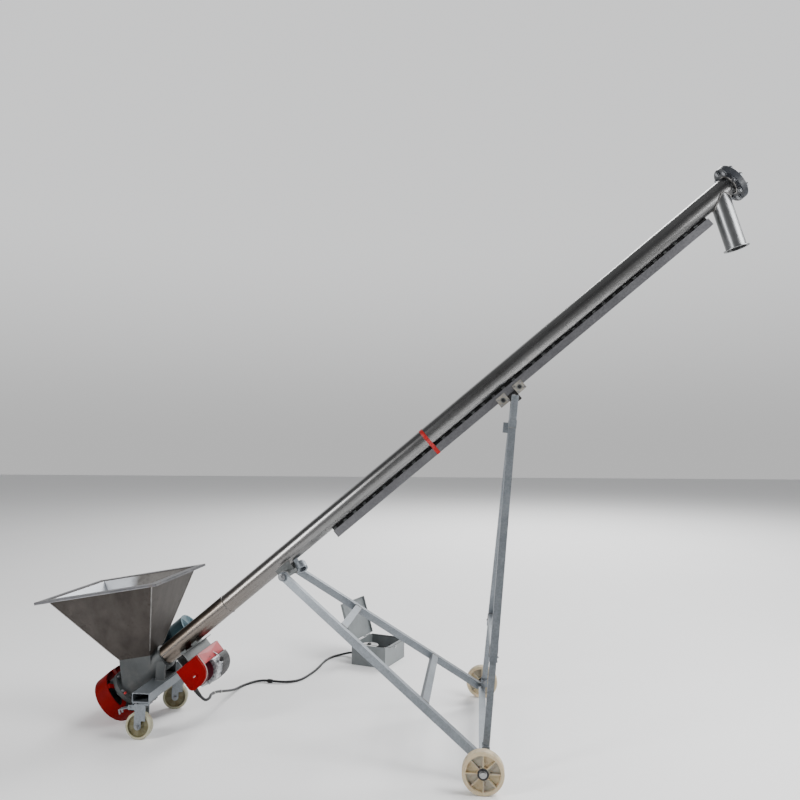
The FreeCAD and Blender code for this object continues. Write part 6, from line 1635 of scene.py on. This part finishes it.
# ------------------------------------------------------------------ studio
@dataclass(frozen=True)
class Lamp:
    """A rectangular soft light: where it hangs, what it points at, its sides and its power in watts."""

    name: str
    place: tuple[float, float, float]
    aim: tuple[float, float, float]
    size: tuple[float, float]
    power: float

    def hang(self) -> None:
        """Put the light in the scene."""
        light = bpy.data.lights.new(self.name, "AREA")
        light.shape = "RECTANGLE"
        light.size, light.size_y = self.size
        light.energy = self.power
        lamp = bpy.data.objects.new(self.name, light)
        bpy.context.collection.objects.link(lamp)
        lamp.location = self.place
        lamp.rotation_mode = "QUATERNION"
        lamp.rotation_quaternion = (Vector(self.aim) - Vector(self.place)).to_track_quat("-Z", "Y")


@dataclass
class Studio:
    """Pale floor, soft lights and the camera."""

    position: tuple[float, float, float] = (-0.0123, -4.0971, 1.5945)
    yaw: float = -0.111
    pitch: float = 0.0734
    roll: float = 0.0023
    lens: float = 31.688
    sensor: float = 36.0
    floor_half: float = 40.0
    lamps: tuple[Lamp, ...] = (
        Lamp("key", (-4.4, -4.2, 2.9), (-0.6, -0.4, 1.0), (1.0, 2.6), 210.0),
        Lamp("side", (4.6, -2.0, 3.4), (0.0, 0.0, 0.8), (2.4, 2.4), 190.0),
        Lamp("top", (4.2, -0.6, 6.2), (0.3, 0.6, 0.0), (3.5, 3.5), 300.0),
        Lamp("rear", (2.5, 9.5, 8.5), (0.0, 9.0, 0.0), (8.0, 5.0), 1500.0))

    def build(self) -> None:
        """Set the stage."""
        self.build_camera()
        self.build_floor()
        self.build_lights()

    def build_camera(self) -> None:
        """Camera on the ground frame below the axle's middle."""
        data = bpy.data.cameras.new("camera")
        data.lens = self.lens
        data.sensor_width = self.sensor
        data.clip_end = 100.0
        camera = bpy.data.objects.new("camera", data)
        bpy.context.collection.objects.link(camera)
        camera.location = Vector(np.array(self.position) + AXLE * [1, 1, 0])
        ahead = Vector((math.sin(self.yaw) * math.cos(self.pitch), math.cos(self.yaw) * math.cos(self.pitch),
                        math.sin(self.pitch)))
        right = Vector((math.cos(self.yaw), -math.sin(self.yaw), 0.0))
        up = right.cross(ahead)
        turned_right = right * math.cos(self.roll) + up * math.sin(self.roll)
        turned_up = up * math.cos(self.roll) - right * math.sin(self.roll)
        matrix = np.array([turned_right, turned_up, -ahead]).T
        camera.rotation_mode = "QUATERNION"
        camera.rotation_quaternion = Matrix(matrix.tolist()).to_quaternion()
        bpy.context.scene.camera = camera

    def build_floor(self) -> None:
        """A wide pale floor with the faintest mottle."""
        mesh = bpy.data.meshes.new("floor")
        half = self.floor_half
        mesh.from_pydata([(-half, -half, 0), (half, -half, 0), (half, half, 0), (-half, half, 0)], [], [(0, 1, 2, 3)])
        floor = bpy.data.objects.new("floor", mesh)
        bpy.context.collection.objects.link(floor)
        paint = Paint("floor_pale")
        tone = paint.noise(0.8, 3.0, 0.5)
        paint.finish(paint.mix(tone, (0.90, 0.90, 0.90), (0.93, 0.93, 0.93)), 0.9)
        mesh.materials.append(paint.material)

    def build_lights(self) -> None:
        """A sky that is bright behind and dim in front and overhead, with four broad soft lights."""
        world = bpy.data.worlds.new("studio")
        bpy.context.scene.world = world
        world.use_nodes = True
        nodes = Nodes(world.node_tree)
        behind = nodes.dot(nodes.place, np.array([0.30, 0.95, 0.0])).step(0.0, 0.55)
        lifted = nodes.dot(nodes.place, UPWARDS)
        front = nodes.mix(lifted.step(0.0, 0.35), (0.42, 0.42, 0.42), (0.13, 0.13, 0.135))
        back = nodes.mix(lifted.step(0.0, 0.30), (0.60, 0.60, 0.60), (1.0, 1.005, 1.012))
        sky = nodes.mix(behind, front, back)
        sky = nodes.mix(lifted.step(0.60, 0.95), sky, (0.30, 0.305, 0.31))
        world.node_tree.links.new(sky.socket, world.node_tree.nodes["Background"].inputs["Color"])
        for lamp in self.lamps:
            lamp.hang()


def main() -> None:
    """Build the studio and every sub-assembly."""
    logging.basicConfig(level=logging.INFO, format="%(message)s")
    Studio().build()
    for assembly in (Cable(), Conveyor(), Hopper(), Casing(), Motor(), Rail(), CasterEnd(), LowerFrame(), Legs(),
                     Trolley(), Hoist(), ControlBox()):
        assembly.build()


if __name__ == "__main__":
    main()
